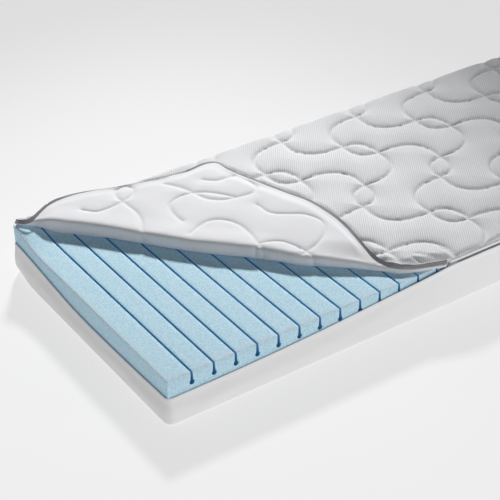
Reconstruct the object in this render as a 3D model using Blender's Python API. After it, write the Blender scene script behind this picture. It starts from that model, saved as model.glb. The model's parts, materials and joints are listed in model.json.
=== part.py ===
"""Pressure relief mattress: a slotted foam core in a zipped cover whose quilted top is folded back at one corner.

Frame: +X runs from the foot end to the head end, -Y is the front long side, +Z is up.
The origin is on the floor under the middle of the mattress. Lengths are in metres.
"""

import math

import bmesh
import bpy
from mathutils import Matrix, Vector

# Outside of the lower cover
LENGTH = 2.000
WIDTH = 0.899
CORNER_RADIUS = 0.024
ARC_STEPS = 5

# Smallest gap between two pieces that touch on the real object
GAP = 0.0003

# Foam core, with slots across its top
FOAM_LENGTH = 1.976
FOAM_WIDTH = 0.876
FOAM_TOP = 0.1380
SLOT_COUNT = 28
SLOT_END_DISTANCE = 0.073
SLOT_MOUTH = 0.0050
SLOT_FLARE = 0.0090
SLOT_FLARE_DEPTH = 0.028
SLOT_HOLE_RADIUS = 0.0070
SLOT_HOLE_DEPTH = 0.0335
SLOT_HOLE_STEPS = 8

# Lower cover: a base panel and four side panels
BASE_THICKNESS = 0.0025
WALL_THICKNESS = 0.0020
RIM_CLOSED = 0.1317
RIM_CORNER = 0.083
RIM_FOOT_SAG = 0.050
BACK_WALL_TOP = 0.1457

# Quilted top: backing, wadding and face fabric, from the foam upwards
BACKING_LOW = FOAM_TOP + GAP
BACKING_HIGH = BACKING_LOW + 0.0015
WADDING_LOW = BACKING_HIGH + GAP
WADDING_HIGH = 0.1573
FACE_LOW = WADDING_HIGH + GAP
FACE_HIGH = FACE_LOW + 0.0020
LIP_LOW = 0.1500
LIP_THICKNESS = 0.0020
BINDING_LOW = 0.1460
BINDING_HIGH = LIP_LOW - GAP
QUILT_INSET = 0.0064

# Fold line of the turned-back corner: a horizontal axis over the foam
FOLD_BACK_X = -0.966
FOLD_FRONT_X = -0.140
FOLD_HALF_Y = 0.450
FOLD_HEIGHT = FACE_HIGH + 0.0005
FOLD_CLEARANCE = 0.0221
FOLD_RADIUS = 0.0215
FOLD_SKIN = 0.0017
FOLD_END_Y = 0.430
FOLD_STEPS = 24

# Outline of the turned-back flap: a straight short edge, a round tip and a bowed long edge
FLAP_TIP = (-0.312, 0.389)
FLAP_SHORT_END = (-0.960, 0.4305)
FLAP_LONG_END = (-0.232, -0.410)
FLAP_LONG_BOW = 0.044
FLAP_LONG_STEPS = 12
FLAP_TIP_RADIUS = 0.030

# Zip: insets are measured inwards from the outside of the cover
ZIP_HEIGHT = 0.1390
ZIP_HALF_GAP = 0.0007
TAPE_OUTER = 0.0041
TAPE_INNER = 0.0049
TAPE_HEIGHT = 0.0123
COIL_OUTER = 0.0024
COIL_INNER = 0.0038
COIL_HEIGHT = 0.0020
ZIP_START_X = -0.930
ZIP_END_X = 0.950
STOP_LENGTH = 0.005

# Slider on the front side and its pull tab
SLIDER_X = -0.063
SLIDER_LENGTH = 0.012
SLIDER_HEIGHT = 0.0094
SLIDER_FRONT = (0.0012, 0.0021)
SLIDER_BACK = (0.0052, 0.0060)
SLIDER_POST_HEIGHT = 0.0008
SLIDER_POST_LENGTH = 0.0040
BRIDGE_WIDTH = 0.0020
BRIDGE_LENGTH = 0.0072
BRIDGE_THICKNESS = 0.0006
BRIDGE_TOP = -0.0006
PIVOT_INSET = 0.0006
PIVOT_RADIUS = 0.0004
TAB_LENGTH = 0.026
TAB_WIDTH = 0.0060
TAB_THICKNESS = 0.0008
TAB_EYE = 0.0036
TAB_EYE_LENGTH = 0.0045

HALF_X = LENGTH / 2
HALF_Y = WIDTH / 2
FOLD_START = Vector((FOLD_BACK_X, FOLD_HALF_Y))
FOLD_ALONG = (Vector((FOLD_FRONT_X, -FOLD_HALF_Y)) - FOLD_START).normalized()
FOLD_OUT = Vector((FOLD_ALONG.y, -FOLD_ALONG.x))


def clear_scene():
    for obj in list(bpy.data.objects):
        bpy.data.objects.remove(obj, do_unlink=True)


def material(name, colour, roughness, metallic=0.0):
    """A plain Principled material, made once and then shared."""
    found = bpy.data.materials.get(name)
    if found:
        return found
    made = bpy.data.materials.new(name)
    made.use_nodes = True
    shader = made.node_tree.nodes["Principled BSDF"]
    shader.inputs["Base Color"].default_value = (*colour, 1.0)
    shader.inputs["Roughness"].default_value = roughness
    shader.inputs["Metallic"].default_value = metallic
    made.diffuse_color = (*colour, 1.0)
    return made


def foam_material():
    return material("blue_foam", (0.48, 0.68, 0.77), 0.9)


def knit_material():
    return material("white_knit", (0.86, 0.86, 0.86), 0.85)


def jersey_material():
    return material("white_jersey", (0.80, 0.80, 0.81), 0.8)


def wadding_material():
    return material("white_wadding", (0.90, 0.90, 0.90), 0.95)


def tape_material():
    return material("grey_tape", (0.22, 0.22, 0.24), 0.75)


def coil_material():
    return material("grey_coil", (0.16, 0.16, 0.17), 0.4)


def metal_material():
    return material("slider_metal", (0.45, 0.45, 0.47), 0.35, 1.0)


def add_object(name, bm, finish, parent=None):
    """Turns a bmesh into a named object; a parent keeps the object's place in the world."""
    bmesh.ops.recalc_face_normals(bm, faces=bm.faces)
    mesh = bpy.data.meshes.new(name)
    bm.to_mesh(mesh)
    bm.free()
    mesh.materials.append(finish)
    obj = bpy.data.objects.new(name, mesh)
    bpy.context.scene.collection.objects.link(obj)
    if parent:
        obj.parent = parent
        obj.matrix_parent_inverse = parent.matrix_world.inverted()
    return obj


def add_empty(name, location, parent=None):
    """An empty that marks a joint's axis and carries what turns or slides with it."""
    empty = bpy.data.objects.new(name, None)
    empty.empty_display_size = 0.05
    bpy.context.scene.collection.objects.link(empty)
    empty.parent = parent
    empty.matrix_world = Matrix.Translation(location)
    bpy.context.view_layer.update()
    return empty


def prism(outline, low, high):
    """A bmesh that stands a flat outline of (x, y) points up from low to high."""
    bm = bmesh.new()
    face = bm.faces.new([bm.verts.new((x, y, low)) for x, y in outline])
    made = bmesh.ops.extrude_face_region(bm, geom=[face])
    moved = [item for item in made["geom"] if isinstance(item, bmesh.types.BMVert)]
    bmesh.ops.translate(bm, verts=moved, vec=(0, 0, high - low))
    return bm


def box(low, high):
    bm = bmesh.new()
    bmesh.ops.create_cube(bm, size=1.0)
    size = Vector(high) - Vector(low)
    middle = (Vector(high) + Vector(low)) / 2
    bmesh.ops.scale(bm, vec=size, verts=bm.verts)
    bmesh.ops.translate(bm, vec=middle, verts=bm.verts)
    return bm


def cut(obj, cutter, name):
    """Takes the cutter's shape out of obj with a Boolean that stays on it."""
    tool = add_object(name, cutter, obj.data.materials[0], obj.parent)
    tool.hide_render = True
    tool.display_type = "WIRE"
    modifier = obj.modifiers.new(name, "BOOLEAN")
    modifier.operation = "DIFFERENCE"
    modifier.object = tool


def corner_arc(corner_x, corner_y):
    """Stations (point, outward normal) round one corner, in the order foot, front, head, back."""
    centre = Vector((corner_x * (HALF_X - CORNER_RADIUS), corner_y * (HALF_Y - CORNER_RADIUS)))
    start = {(-1, 1): 90, (-1, -1): 180, (1, -1): 270, (1, 1): 0}[(corner_x, corner_y)]
    stations = []
    for step in range(ARC_STEPS + 1):
        angle = math.radians(start + 90 * step / ARC_STEPS)
        normal = Vector((math.cos(angle), math.sin(angle)))
        stations.append((centre + CORNER_RADIUS * normal, normal))
    return stations


def straight(start, stop, normal, steps):
    """Evenly spaced stations from start to stop, without the two ends."""
    stations = []
    for step in range(1, steps):
        point = Vector(start).lerp(Vector(stop), step / steps)
        stations.append((point, Vector(normal)))
    return stations


def foot_path():
    """Round the foot end, from the back edge past both corners."""
    start = [(Vector((ZIP_START_X, HALF_Y)), Vector((0, 1)))]
    reach = HALF_Y - CORNER_RADIUS
    end_run = straight((-HALF_X, reach), (-HALF_X, -reach), (-1, 0), 12)
    return start + corner_arc(-1, 1) + end_run + corner_arc(-1, -1)


def front_path():
    """Along the front, closely spaced where the rim rises towards the slider."""
    reach = HALF_X - CORNER_RADIUS
    open_run = straight((-reach, -HALF_Y), (SLIDER_X, -HALF_Y), (0, -1), 14)
    middle = [(Vector((SLIDER_X, -HALF_Y)), Vector((0, -1)))]
    closed_run = straight((SLIDER_X, -HALF_Y), (reach, -HALF_Y), (0, -1), 2)
    return open_run + middle + closed_run


def head_path():
    """Round the head end, past both corners to the back edge."""
    stop = [(Vector((ZIP_END_X, HALF_Y)), Vector((0, 1)))]
    return corner_arc(1, -1) + corner_arc(1, 1) + stop


def rim_height(point):
    """Height of the side panels' top edge, which slumps where the zip is open."""
    if point.y > HALF_Y - CORNER_RADIUS or point.x > SLIDER_X:
        return RIM_CLOSED
    rise = RIM_CLOSED - RIM_CORNER
    if point.x < -HALF_X + CORNER_RADIUS:
        along = (point.y + HALF_Y) / (WIDTH - CORNER_RADIUS)
        t = min(max(2 * along - 1, 0.0), 1.0)
        return RIM_CORNER - RIM_FOOT_SAG * along * (1 - along) + rise * t * t * (3 - 2 * t)
    along = (point.x + HALF_X) / (SLIDER_X + HALF_X)
    return RIM_CORNER + rise * along**2.2


def ribbon(stations, outer, inner, low, high):
    """A bmesh band along stations, between two insets and two heights; a height may be a function of the point."""
    bm = bmesh.new()
    rings = []
    for point, normal in stations:
        z_low = low(point) if callable(low) else low
        z_high = high(point) if callable(high) else high
        ring = []
        for inset, z in ((outer, z_low), (outer, z_high), (inner, z_high), (inner, z_low)):
            place = point - inset * normal
            ring.append(bm.verts.new((place.x, place.y, z)))
        rings.append(ring)
    for first, second in zip(rings, rings[1:]):
        for side in range(4):
            after = (side + 1) % 4
            bm.faces.new((first[side], first[after], second[after], second[side]))
    bm.faces.new(rings[0])
    bm.faces.new(rings[-1])
    return bm


def trimmed(stations, start, stop):
    """The stations moved in at each end by start and stop metres, for a piece shorter than its path."""
    kept = list(stations)
    first = (kept[1][0] - kept[0][0]).normalized()
    last = (kept[-2][0] - kept[-1][0]).normalized()
    kept[0] = (kept[0][0] + first * start, kept[0][1])
    kept[-1] = (kept[-1][0] + last * stop, kept[-1][1])
    return kept


def cover_outline(inset):
    """The cover's rounded rectangle in plan, moved in by inset."""
    points = []
    for corner in ((-1, 1), (-1, -1), (1, -1), (1, 1)):
        for point, normal in corner_arc(*corner):
            points.append(point - inset * normal)
    return points


def fold_distance(point):
    """Distance in front of the fold line, towards the open corner."""
    return (Vector(point) - FOLD_START).dot(FOLD_OUT)


def behind_fold(points, clearance):
    """The part of a convex outline that lies further than clearance behind the fold line."""
    kept = []
    for index, point in enumerate(points):
        before = points[index - 1]
        here = fold_distance(point) + clearance
        there = fold_distance(before) + clearance
        if (here < 0) != (there < 0):
            kept.append(before.lerp(point, there / (there - here)))
        if here < 0:
            kept.append(point)
    return [(point.x, point.y) for point in kept]


def flap_edge():
    """Stations along the flap's zipped edge: short edge, round tip, then the bowed long edge."""
    short_end = Vector(FLAP_SHORT_END)
    tip = Vector(FLAP_TIP)
    long_end = Vector(FLAP_LONG_END)
    chord = tip - long_end
    half = chord.length / 2
    radius = (half * half + FLAP_LONG_BOW**2) / (2 * FLAP_LONG_BOW)
    side = Vector((chord.y, -chord.x)).normalized()
    centre = (tip + long_end) / 2 - side * (radius - FLAP_LONG_BOW)
    start = math.atan2(*reversed(tip - centre))
    stop = math.atan2(*reversed(long_end - centre))
    skip = FLAP_TIP_RADIUS / radius
    short_normal = Vector((-(tip - short_end).y, (tip - short_end).x)).normalized()
    arc_start = start - skip
    arc_normal = Vector((math.cos(arc_start), math.sin(arc_start)))
    stations = [(short_end, short_normal)]
    round_centre = centre + (radius - FLAP_TIP_RADIUS) * arc_normal
    turn_from = math.atan2(short_normal.y, short_normal.x)
    top = round_centre + FLAP_TIP_RADIUS * short_normal
    stations.append((short_end.lerp(top, 0.5), short_normal))
    for step in range(ARC_STEPS + 1):
        angle = turn_from + (arc_start - turn_from) * step / ARC_STEPS
        normal = Vector((math.cos(angle), math.sin(angle)))
        stations.append((round_centre + FLAP_TIP_RADIUS * normal, normal))
    for step in range(1, FLAP_LONG_STEPS + 1):
        angle = arc_start + (stop - arc_start) * step / FLAP_LONG_STEPS
        normal = Vector((math.cos(angle), math.sin(angle)))
        stations.append((centre + radius * normal, normal))
    return stations


def flap_outline(inset):
    """The flap's outline in plan, moved in by inset and cut off behind the fold."""
    points = [point - inset * normal for point, normal in flap_edge()]
    return behind_fold(points, FOLD_CLEARANCE)


def flap_edge_clear_of_fold():
    """The flap's edge from where its short edge comes clear of the fold."""
    limit = -FOLD_CLEARANCE - QUILT_INSET
    stations = flap_edge()
    start, normal = stations[0]
    onward = stations[1][0]
    share = (fold_distance(start) - limit) / (fold_distance(start) - fold_distance(onward))
    kept = [station for station in stations if fold_distance(station[0]) < limit]
    return [(start.lerp(onward, share), normal)] + kept


def flipped(height):
    """A height in the quilt, turned over about the fold axis."""
    return 2 * FOLD_HEIGHT - height


def slot_points(x):
    """One keyhole slot, seen from the front: down its left wall, round the hole and up the right wall."""
    points = [(x - SLOT_MOUTH / 2, FOAM_TOP)]
    points.append((x - SLOT_FLARE / 2, FOAM_TOP - SLOT_FLARE_DEPTH))
    opening = math.acos(SLOT_FLARE / 2 / SLOT_HOLE_RADIUS)
    start = math.pi - opening
    for step in range(1, SLOT_HOLE_STEPS):
        angle = start + (math.pi + 2 * opening) * step / SLOT_HOLE_STEPS
        along = x + SLOT_HOLE_RADIUS * math.cos(angle)
        points.append((along, FOAM_TOP - SLOT_HOLE_DEPTH + SLOT_HOLE_RADIUS * math.sin(angle)))
    points.append((x + SLOT_FLARE / 2, FOAM_TOP - SLOT_FLARE_DEPTH))
    points.append((x + SLOT_MOUTH / 2, FOAM_TOP))
    return points


def make_foam_core():
    half = FOAM_LENGTH / 2
    pitch = (FOAM_LENGTH - 2 * SLOT_END_DISTANCE) / (SLOT_COUNT - 1)
    profile = [(-half, BASE_THICKNESS + GAP), (-half, FOAM_TOP)]
    for slot in range(SLOT_COUNT):
        profile += slot_points(-half + SLOT_END_DISTANCE + slot * pitch)
    profile += [(half, FOAM_TOP), (half, BASE_THICKNESS + GAP)]
    bm = prism(profile, -FOAM_WIDTH / 2, FOAM_WIDTH / 2)
    stand_up = Matrix.Rotation(math.radians(90), 3, "X")
    bmesh.ops.rotate(bm, verts=bm.verts, cent=(0, 0, 0), matrix=stand_up)
    add_object("foam_core", bm, foam_material())


def make_lower_cover():
    add_object("base_panel", prism(cover_outline(0), 0, BASE_THICKNESS), jersey_material())
    low = BASE_THICKNESS + GAP
    foot = foot_path()
    front = [foot[-1]] + front_path() + [head_path()[0]]
    head = head_path()
    back = [(Vector((ZIP_END_X, HALF_Y)), Vector((0, 1))), (Vector((ZIP_START_X, HALF_Y)), Vector((0, 1)))]
    foot_band = trimmed(foot, 0, GAP)
    head_band = trimmed(head, GAP, 0)
    back_band = trimmed(back, GAP, GAP)
    bands = {
        "foot_side_panel": (foot_band, rim_height),
        "front_side_panel": (front, rim_height),
        "head_side_panel": (head_band, RIM_CLOSED),
        "back_side_panel": (back_band, BACK_WALL_TOP),
    }
    for name, (stations, top) in bands.items():
        add_object(name, ribbon(stations, 0, WALL_THICKNESS, low, top), jersey_material())


def face_with_lip(name, outline, inner_outline, low, high, lip, finish, parent=None):
    """Face fabric: a sheet from low to high whose edge turns towards the height lip."""
    bottom = min(low, lip)
    top = max(high, lip)
    face = add_object(name, prism(outline, bottom, top), finish, parent)
    if lip < low:
        cutter = prism(inner_outline, lip - LIP_THICKNESS, low)
    else:
        cutter = prism(inner_outline, high, lip + LIP_THICKNESS)
    cut(face, cutter, name + "_cutter")


def make_top_panel():
    """The part of the quilted top that stays on the foam."""
    inner = behind_fold(cover_outline(LIP_THICKNESS), FOLD_CLEARANCE - LIP_THICKNESS)
    face_with_lip(
        "top_face_fabric",
        behind_fold(cover_outline(0), FOLD_CLEARANCE),
        inner,
        FACE_LOW,
        FACE_HIGH,
        LIP_LOW,
        knit_material(),
    )
    quilt = behind_fold(cover_outline(QUILT_INSET), FOLD_CLEARANCE)
    add_object("top_wadding", prism(quilt, WADDING_LOW, WADDING_HIGH), wadding_material())
    add_object("top_backing", prism(quilt, BACKING_LOW, BACKING_HIGH), jersey_material())


def closed_edge():
    """Stations along the top's sewn edge: front from the slider, head end, then the back to the fold."""
    front = [(Vector((SLIDER_X, -HALF_Y)), Vector((0, -1)))] + head_path()[:-1]
    back_stop = FOLD_BACK_X + FOLD_CLEARANCE / abs(FOLD_OUT.x) + 0.004
    return front + [(Vector((back_stop, HALF_Y)), Vector((0, 1)))]


def make_top_binding():
    bm = ribbon(closed_edge(), 0, LIP_THICKNESS, BINDING_LOW, BINDING_HIGH)
    add_object("top_binding", bm, knit_material())


def make_zip_on_cover():
    """Lower tape and coil from end to end, and the upper ones where the zip is closed."""
    lower_path = foot_path() + front_path() + head_path()
    closed_path = [(Vector((SLIDER_X, -HALF_Y)), Vector((0, -1)))] + head_path()

    def teeth_edge(point):
        """Top of the lower tape: in the chain where closed, tucked behind the rim where open."""
        share = (rim_height(point) - RIM_CORNER) / (RIM_CLOSED - RIM_CORNER)
        lift = ZIP_HEIGHT - ZIP_HALF_GAP - RIM_CLOSED
        return rim_height(point) - 0.001 + (lift + 0.001) * max(share, 0.0) ** 8

    def tape_low(point):
        return teeth_edge(point) - TAPE_HEIGHT

    def coil_low(point):
        return teeth_edge(point) - COIL_HEIGHT

    upper = ZIP_HEIGHT + ZIP_HALF_GAP
    tape = ribbon(lower_path, TAPE_OUTER, TAPE_INNER, tape_low, teeth_edge)
    add_object("zip_tape_lower", tape, tape_material())
    coil_path = trimmed(lower_path, STOP_LENGTH + GAP, STOP_LENGTH + GAP)
    coil = ribbon(coil_path, COIL_OUTER, COIL_INNER, coil_low, teeth_edge)
    add_object("zip_coil_lower", coil, coil_material())
    tape = ribbon(closed_path, TAPE_OUTER, TAPE_INNER, upper, upper + TAPE_HEIGHT)
    add_object("zip_tape_upper", tape, tape_material())
    coil_path = trimmed(closed_path, 0, STOP_LENGTH + GAP)
    coil = ribbon(coil_path, COIL_OUTER, COIL_INNER, upper, upper + COIL_HEIGHT)
    add_object("zip_coil_upper", coil, coil_material())


def make_zip_stops():
    """A small block across the chain at each end of the zip."""
    half = ZIP_HALF_GAP + COIL_HEIGHT
    for name, x_low in (("zip_stop_foot", ZIP_START_X - STOP_LENGTH), ("zip_stop_head", ZIP_END_X)):
        low = (x_low, HALF_Y - COIL_INNER, ZIP_HEIGHT - half)
        high = (x_low + STOP_LENGTH, HALF_Y - COIL_OUTER, ZIP_HEIGHT + half)
        add_object(name, box(low, high), metal_material())


def make_fold():
    """The rounded fold between the panel and the flap: a wadding core with the backing round its nose."""
    start_s = (FOLD_HALF_Y - FOLD_END_Y) / abs(FOLD_ALONG.y)
    start = FOLD_START + FOLD_ALONG * start_s
    stop = FOLD_START + FOLD_ALONG * (start_s + 2 * FOLD_END_Y / abs(FOLD_ALONG.y))
    core_radius = FOLD_RADIUS - FOLD_SKIN - GAP
    core = []
    skin = []
    for step in range(FOLD_STEPS):
        angle = 2 * math.pi * step / FOLD_STEPS
        core.append((core_radius * math.cos(angle), core_radius * math.sin(angle)))
    half_steps = FOLD_STEPS // 2
    for step in range(half_steps + 1):
        angle = math.radians(-90) + math.pi * step / half_steps
        skin.append((FOLD_RADIUS * math.cos(angle), FOLD_RADIUS * math.sin(angle)))
    for step in range(half_steps, -1, -1):
        angle = math.radians(-90) + math.pi * step / half_steps
        inner_radius = FOLD_RADIUS - FOLD_SKIN
        skin.append((inner_radius * math.cos(angle), inner_radius * math.sin(angle)))
    for name, section, finish in (
        ("fold_wadding", core, wadding_material()),
        ("fold_backing", skin, jersey_material()),
    ):
        bm = bmesh.new()
        rings = []
        for end in (start, stop):
            ring = []
            for out, up in section:
                place = end + FOLD_OUT * out
                ring.append(bm.verts.new((place.x, place.y, FOLD_HEIGHT + up)))
            rings.append(ring)
        count = len(section)
        for index in range(count):
            after = (index + 1) % count
            bm.faces.new((rings[0][index], rings[0][after], rings[1][after], rings[1][index]))
        bm.faces.new(rings[0])
        bm.faces.new(rings[1])
        add_object(name, bm, finish)


def make_flap():
    """The corner of the top, turned back and lying face down; everything on it turns about the fold axis."""
    middle = FOLD_START + FOLD_ALONG * (FOLD_HALF_Y / abs(FOLD_ALONG.y))
    hinge = add_empty("flap_hinge", (middle.x, middle.y, FOLD_HEIGHT))
    inner = [point - LIP_THICKNESS * normal for point, normal in flap_edge()]
    face_with_lip(
        "flap_face_fabric",
        flap_outline(0),
        behind_fold(inner, FOLD_CLEARANCE - LIP_THICKNESS),
        flipped(FACE_HIGH),
        flipped(FACE_LOW),
        flipped(LIP_LOW),
        knit_material(),
        hinge,
    )
    quilt = flap_outline(QUILT_INSET)
    wadding = prism(quilt, flipped(WADDING_HIGH), flipped(WADDING_LOW))
    add_object("flap_wadding", wadding, wadding_material(), hinge)
    backing = prism(quilt, flipped(BACKING_HIGH), flipped(BACKING_LOW))
    add_object("flap_backing", backing, jersey_material(), hinge)
    edge = flap_edge_clear_of_fold()
    binding = ribbon(edge, 0, LIP_THICKNESS, flipped(BINDING_HIGH), flipped(BINDING_LOW))
    add_object("flap_binding", binding, knit_material(), hinge)
    teeth = flipped(ZIP_HEIGHT + ZIP_HALF_GAP)
    tape = ribbon(edge, TAPE_OUTER, TAPE_INNER, teeth - TAPE_HEIGHT, teeth)
    add_object("flap_zip_tape", tape, tape_material(), hinge)
    coil = ribbon(edge, COIL_OUTER, COIL_INNER, teeth - COIL_HEIGHT, teeth)
    add_object("flap_zip_coil", coil, coil_material(), hinge)


def make_slider():
    """Zip slider: two plates joined by a post between the coils, a bridge, and a pull tab under the bridge."""
    carrier = add_empty("slider_carrier", (SLIDER_X, -HALF_Y, ZIP_HEIGHT))

    def block(x_low, x_high, insets, half_height):
        low = (x_low, -HALF_Y + insets[0], ZIP_HEIGHT - half_height)
        return box(low, (x_high, -HALF_Y + insets[1], ZIP_HEIGHT + half_height))

    left = SLIDER_X - SLIDER_LENGTH / 2
    right = SLIDER_X + SLIDER_LENGTH / 2
    half = SLIDER_HEIGHT / 2
    through = (SLIDER_FRONT[0], SLIDER_BACK[1])
    body = add_object("slider_body", block(left, right, through, half), metal_material(), carrier)
    channel = (SLIDER_FRONT[1], SLIDER_BACK[0])
    post_right = left + SLIDER_POST_LENGTH
    post_half = SLIDER_POST_HEIGHT / 2
    reach = SLIDER_LENGTH
    for side in (-1, 1):
        near = ZIP_HEIGHT + side * post_half
        far = ZIP_HEIGHT + side * reach
        low = (left - reach, -HALF_Y + channel[0], min(near, far))
        high = (right + reach, -HALF_Y + channel[1], max(near, far))
        cut(body, box(low, high), "slider_channel_" + ("upper" if side > 0 else "lower"))
    cut(body, block(post_right, right + reach, channel, reach), "slider_mouth_cutter")

    bridge_low = SLIDER_X - BRIDGE_LENGTH / 2
    bridge_high = SLIDER_X + BRIDGE_LENGTH / 2
    foot = SLIDER_FRONT[0] - GAP
    bridge_bm = block(bridge_low, bridge_high, (BRIDGE_TOP, foot), BRIDGE_WIDTH / 2)
    bridge = add_object("slider_bridge", bridge_bm, metal_material(), carrier)
    under = (BRIDGE_TOP + BRIDGE_THICKNESS, foot + BRIDGE_THICKNESS)
    inside_low = bridge_low + BRIDGE_THICKNESS
    inside_high = bridge_high - BRIDGE_THICKNESS
    cut(bridge, block(inside_low, inside_high, under, BRIDGE_WIDTH), "slider_bridge_cutter")

    pivot = add_empty("pull_tab_pivot", (SLIDER_X, -HALF_Y + PIVOT_INSET, ZIP_HEIGHT), carrier)
    tab_insets = (PIVOT_INSET - TAB_THICKNESS / 2, PIVOT_INSET + TAB_THICKNESS / 2)
    tab_low = SLIDER_X - PIVOT_RADIUS
    tab_bm = block(tab_low, tab_low + TAB_LENGTH, tab_insets, TAB_WIDTH / 2)
    tab = add_object("pull_tab", tab_bm, metal_material(), pivot)
    eye_low = SLIDER_X + PIVOT_RADIUS
    eye = block(eye_low, eye_low + TAB_EYE_LENGTH, (-0.01, 0.01), TAB_EYE / 2)
    cut(tab, eye, "pull_tab_eye_cutter")


clear_scene()
make_foam_core()
make_lower_cover()
make_top_panel()
make_top_binding()
make_zip_on_cover()
make_zip_stops()
make_fold()
make_flap()
make_slider()
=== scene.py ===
import json
import math

import bmesh
import bpy
import numpy as np
from mathutils import Matrix, Vector, kdtree, noise


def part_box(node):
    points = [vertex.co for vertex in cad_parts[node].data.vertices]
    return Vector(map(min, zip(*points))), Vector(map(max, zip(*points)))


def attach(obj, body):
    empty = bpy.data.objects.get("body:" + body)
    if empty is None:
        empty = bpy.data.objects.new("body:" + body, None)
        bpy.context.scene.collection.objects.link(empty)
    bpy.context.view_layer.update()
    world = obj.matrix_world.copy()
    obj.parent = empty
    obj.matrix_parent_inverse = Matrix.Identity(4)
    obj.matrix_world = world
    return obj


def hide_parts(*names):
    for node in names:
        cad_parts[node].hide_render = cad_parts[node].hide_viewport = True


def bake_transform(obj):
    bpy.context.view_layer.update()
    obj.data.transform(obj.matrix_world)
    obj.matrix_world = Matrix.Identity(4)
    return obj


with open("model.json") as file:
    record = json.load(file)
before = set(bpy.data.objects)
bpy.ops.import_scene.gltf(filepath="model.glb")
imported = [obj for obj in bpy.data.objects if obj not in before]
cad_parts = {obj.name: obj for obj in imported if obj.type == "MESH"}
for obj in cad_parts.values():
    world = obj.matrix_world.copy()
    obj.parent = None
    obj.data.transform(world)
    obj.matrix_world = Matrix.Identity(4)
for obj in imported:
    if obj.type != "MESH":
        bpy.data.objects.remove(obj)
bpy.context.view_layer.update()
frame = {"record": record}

# The whole scene is in metres: +X from the foot end to the head end, -Y the front long side, +Z up.


def corners(node):
    """A CAD node's lowest and highest corners, as arrays."""
    low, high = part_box(node)
    return np.array(low), np.array(high)


# Driving sizes read from the frame
FOAM_LOW, FOAM_HIGH = corners("foam_core")
SLIDER_LOW, SLIDER_HIGH = corners("slider_body")
HALF_X, HALF_Y, BASE_TOP = map(float, corners("base_panel")[1])
FOAM_TOP = float(FOAM_HIGH[2])
SLIDER_X, _, ZIP_Z = map(float, (SLIDER_LOW + SLIDER_HIGH) / 2)
BACK_RIM = float(corners("back_side_panel")[1][2])
RIM_CLOSED = float(corners("head_side_panel")[1][2])
FLAP_TOP = float(corners("flap_backing")[1][2])
ZIP_START_X = float(corners("zip_stop_foot")[1][0])
ZIP_END_X = float(corners("zip_stop_head")[0][0])

# Plan corner radius, and the rim of the lower cover: held up to RIM_SHOWN where the zip is closed, slumped
# to RIM_CORNER at the open corner, sagging along the foot end and a little higher at the back corner
CORNER_RADIUS = 0.024
RIM_SHOWN = RIM_CLOSED + 0.003
RIM_CORNER = 0.083
RIM_FOOT_SAG = 0.050
RIM_BACK_CORNER = 0.108

# The fold line comes from the joint. ALONG runs from the back edge to the slider, OUT to the open corner
FOLD = next(joint for joint in frame["record"]["behaviour"]["joints"] if joint["name"] == "flap_fold")
ALONG = np.array(FOLD["axis"][:2])
OUT = np.array((ALONG[1], -ALONG[0]))
FOLD_HALF_Y = 0.450
FOLD_START = np.array(FOLD["pos_m"][:2]) - ALONG * (FOLD_HALF_Y / abs(ALONG[1]))

# Layers that touch are drawn this far apart
TOUCH_GAP = 0.0006

# The foam's back corner at the open end is pulled up a little, and the quilt on it by a share of that
LIFT_HEIGHT = 0.028
LIFT_PLACE = np.array((FOAM_LOW[0], FOAM_HIGH[1]))
LIFT_REACH = 0.060
QUILT_LIFT_SHARE = 0.5


def smooth(t):
    """0 below 0, 1 above 1, with a soft start and end between."""
    t = np.clip(t, 0.0, 1.0)
    return t * t * (3 - 2 * t)


def lift(xy):
    """How far the corner's pull raises a point of the foam's top."""
    away = np.linalg.norm(np.asarray(xy) - LIFT_PLACE, axis=-1)
    return LIFT_HEIGHT * np.exp(-((away / LIFT_REACH) ** 2) / 2)


def quilt_lift(xy):
    """The quilt over the raised corner is pressed thinner by the flap, so its face rises less."""
    return QUILT_LIFT_SHARE * lift(xy)


def fold_frame(xy):
    """Plan point to (distance along the fold, distance in front of it)."""
    moved = np.asarray(xy) - FOLD_START
    return moved @ ALONG, moved @ OUT


def from_fold(along, out):
    """(distance along the fold, distance in front of it) to a plan point."""
    return FOLD_START + np.multiply.outer(along, ALONG) + np.multiply.outer(out, OUT)


def waves(points, size, seed):
    """Soft repeatable noise between about -1 and 1, one value for each point."""
    shift = Vector((seed * 7.3, seed * 3.1, seed * 5.7))
    return np.array([noise.noise(Vector(p) / size + shift) for p in points])


def sway(xy, parts):
    """Gentle unevenness of lying cloth; each part has a height, a length and a seed."""
    at = np.column_stack((xy, np.zeros(len(xy))))
    return sum(height * waves(at, length, seed) for height, length, seed in parts)


def rounded(t):
    """A quarter circle's rise, from 0 at t = 0 to 1 at t = 1."""
    return np.sqrt(1 - (1 - np.clip(t, 0, 1)) ** 2)


def curve_through(points, spacing):
    """A smooth (Catmull-Rom) curve through given points, resampled evenly."""
    points = np.asarray(points, dtype=float)
    ends = np.vstack((2 * points[0] - points[1], points, 2 * points[-1] - points[-2]))
    fine = []
    steps = np.linspace(0, 1, 24, endpoint=False)[:, None]
    for i in range(1, len(ends) - 2):
        p0, p1, p2, p3 = ends[i - 1:i + 3]
        a = 2 * p1
        b = p2 - p0
        c = 2 * p0 - 5 * p1 + 4 * p2 - p3
        d = 3 * p1 - p0 - 3 * p2 + p3
        fine.append((a + b * steps + c * steps**2 + d * steps**3) / 2)
    fine = np.vstack(fine + [points[-1:]])
    return resampled(fine, spacing)


def run_at(points):
    """How far along a polyline each of its points lies."""
    gaps = np.linalg.norm(np.diff(points, axis=0), axis=1)
    return np.concatenate(([0], np.cumsum(gaps)))


def resampled(points, spacing):
    """Evenly spaced points along a polyline."""
    run = run_at(points)
    count = max(2, int(round(run[-1] / spacing)) + 1)
    at = np.linspace(0, run[-1], count)
    return np.stack([np.interp(at, run, points[:, k]) for k in range(points.shape[1])], axis=1)


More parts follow.
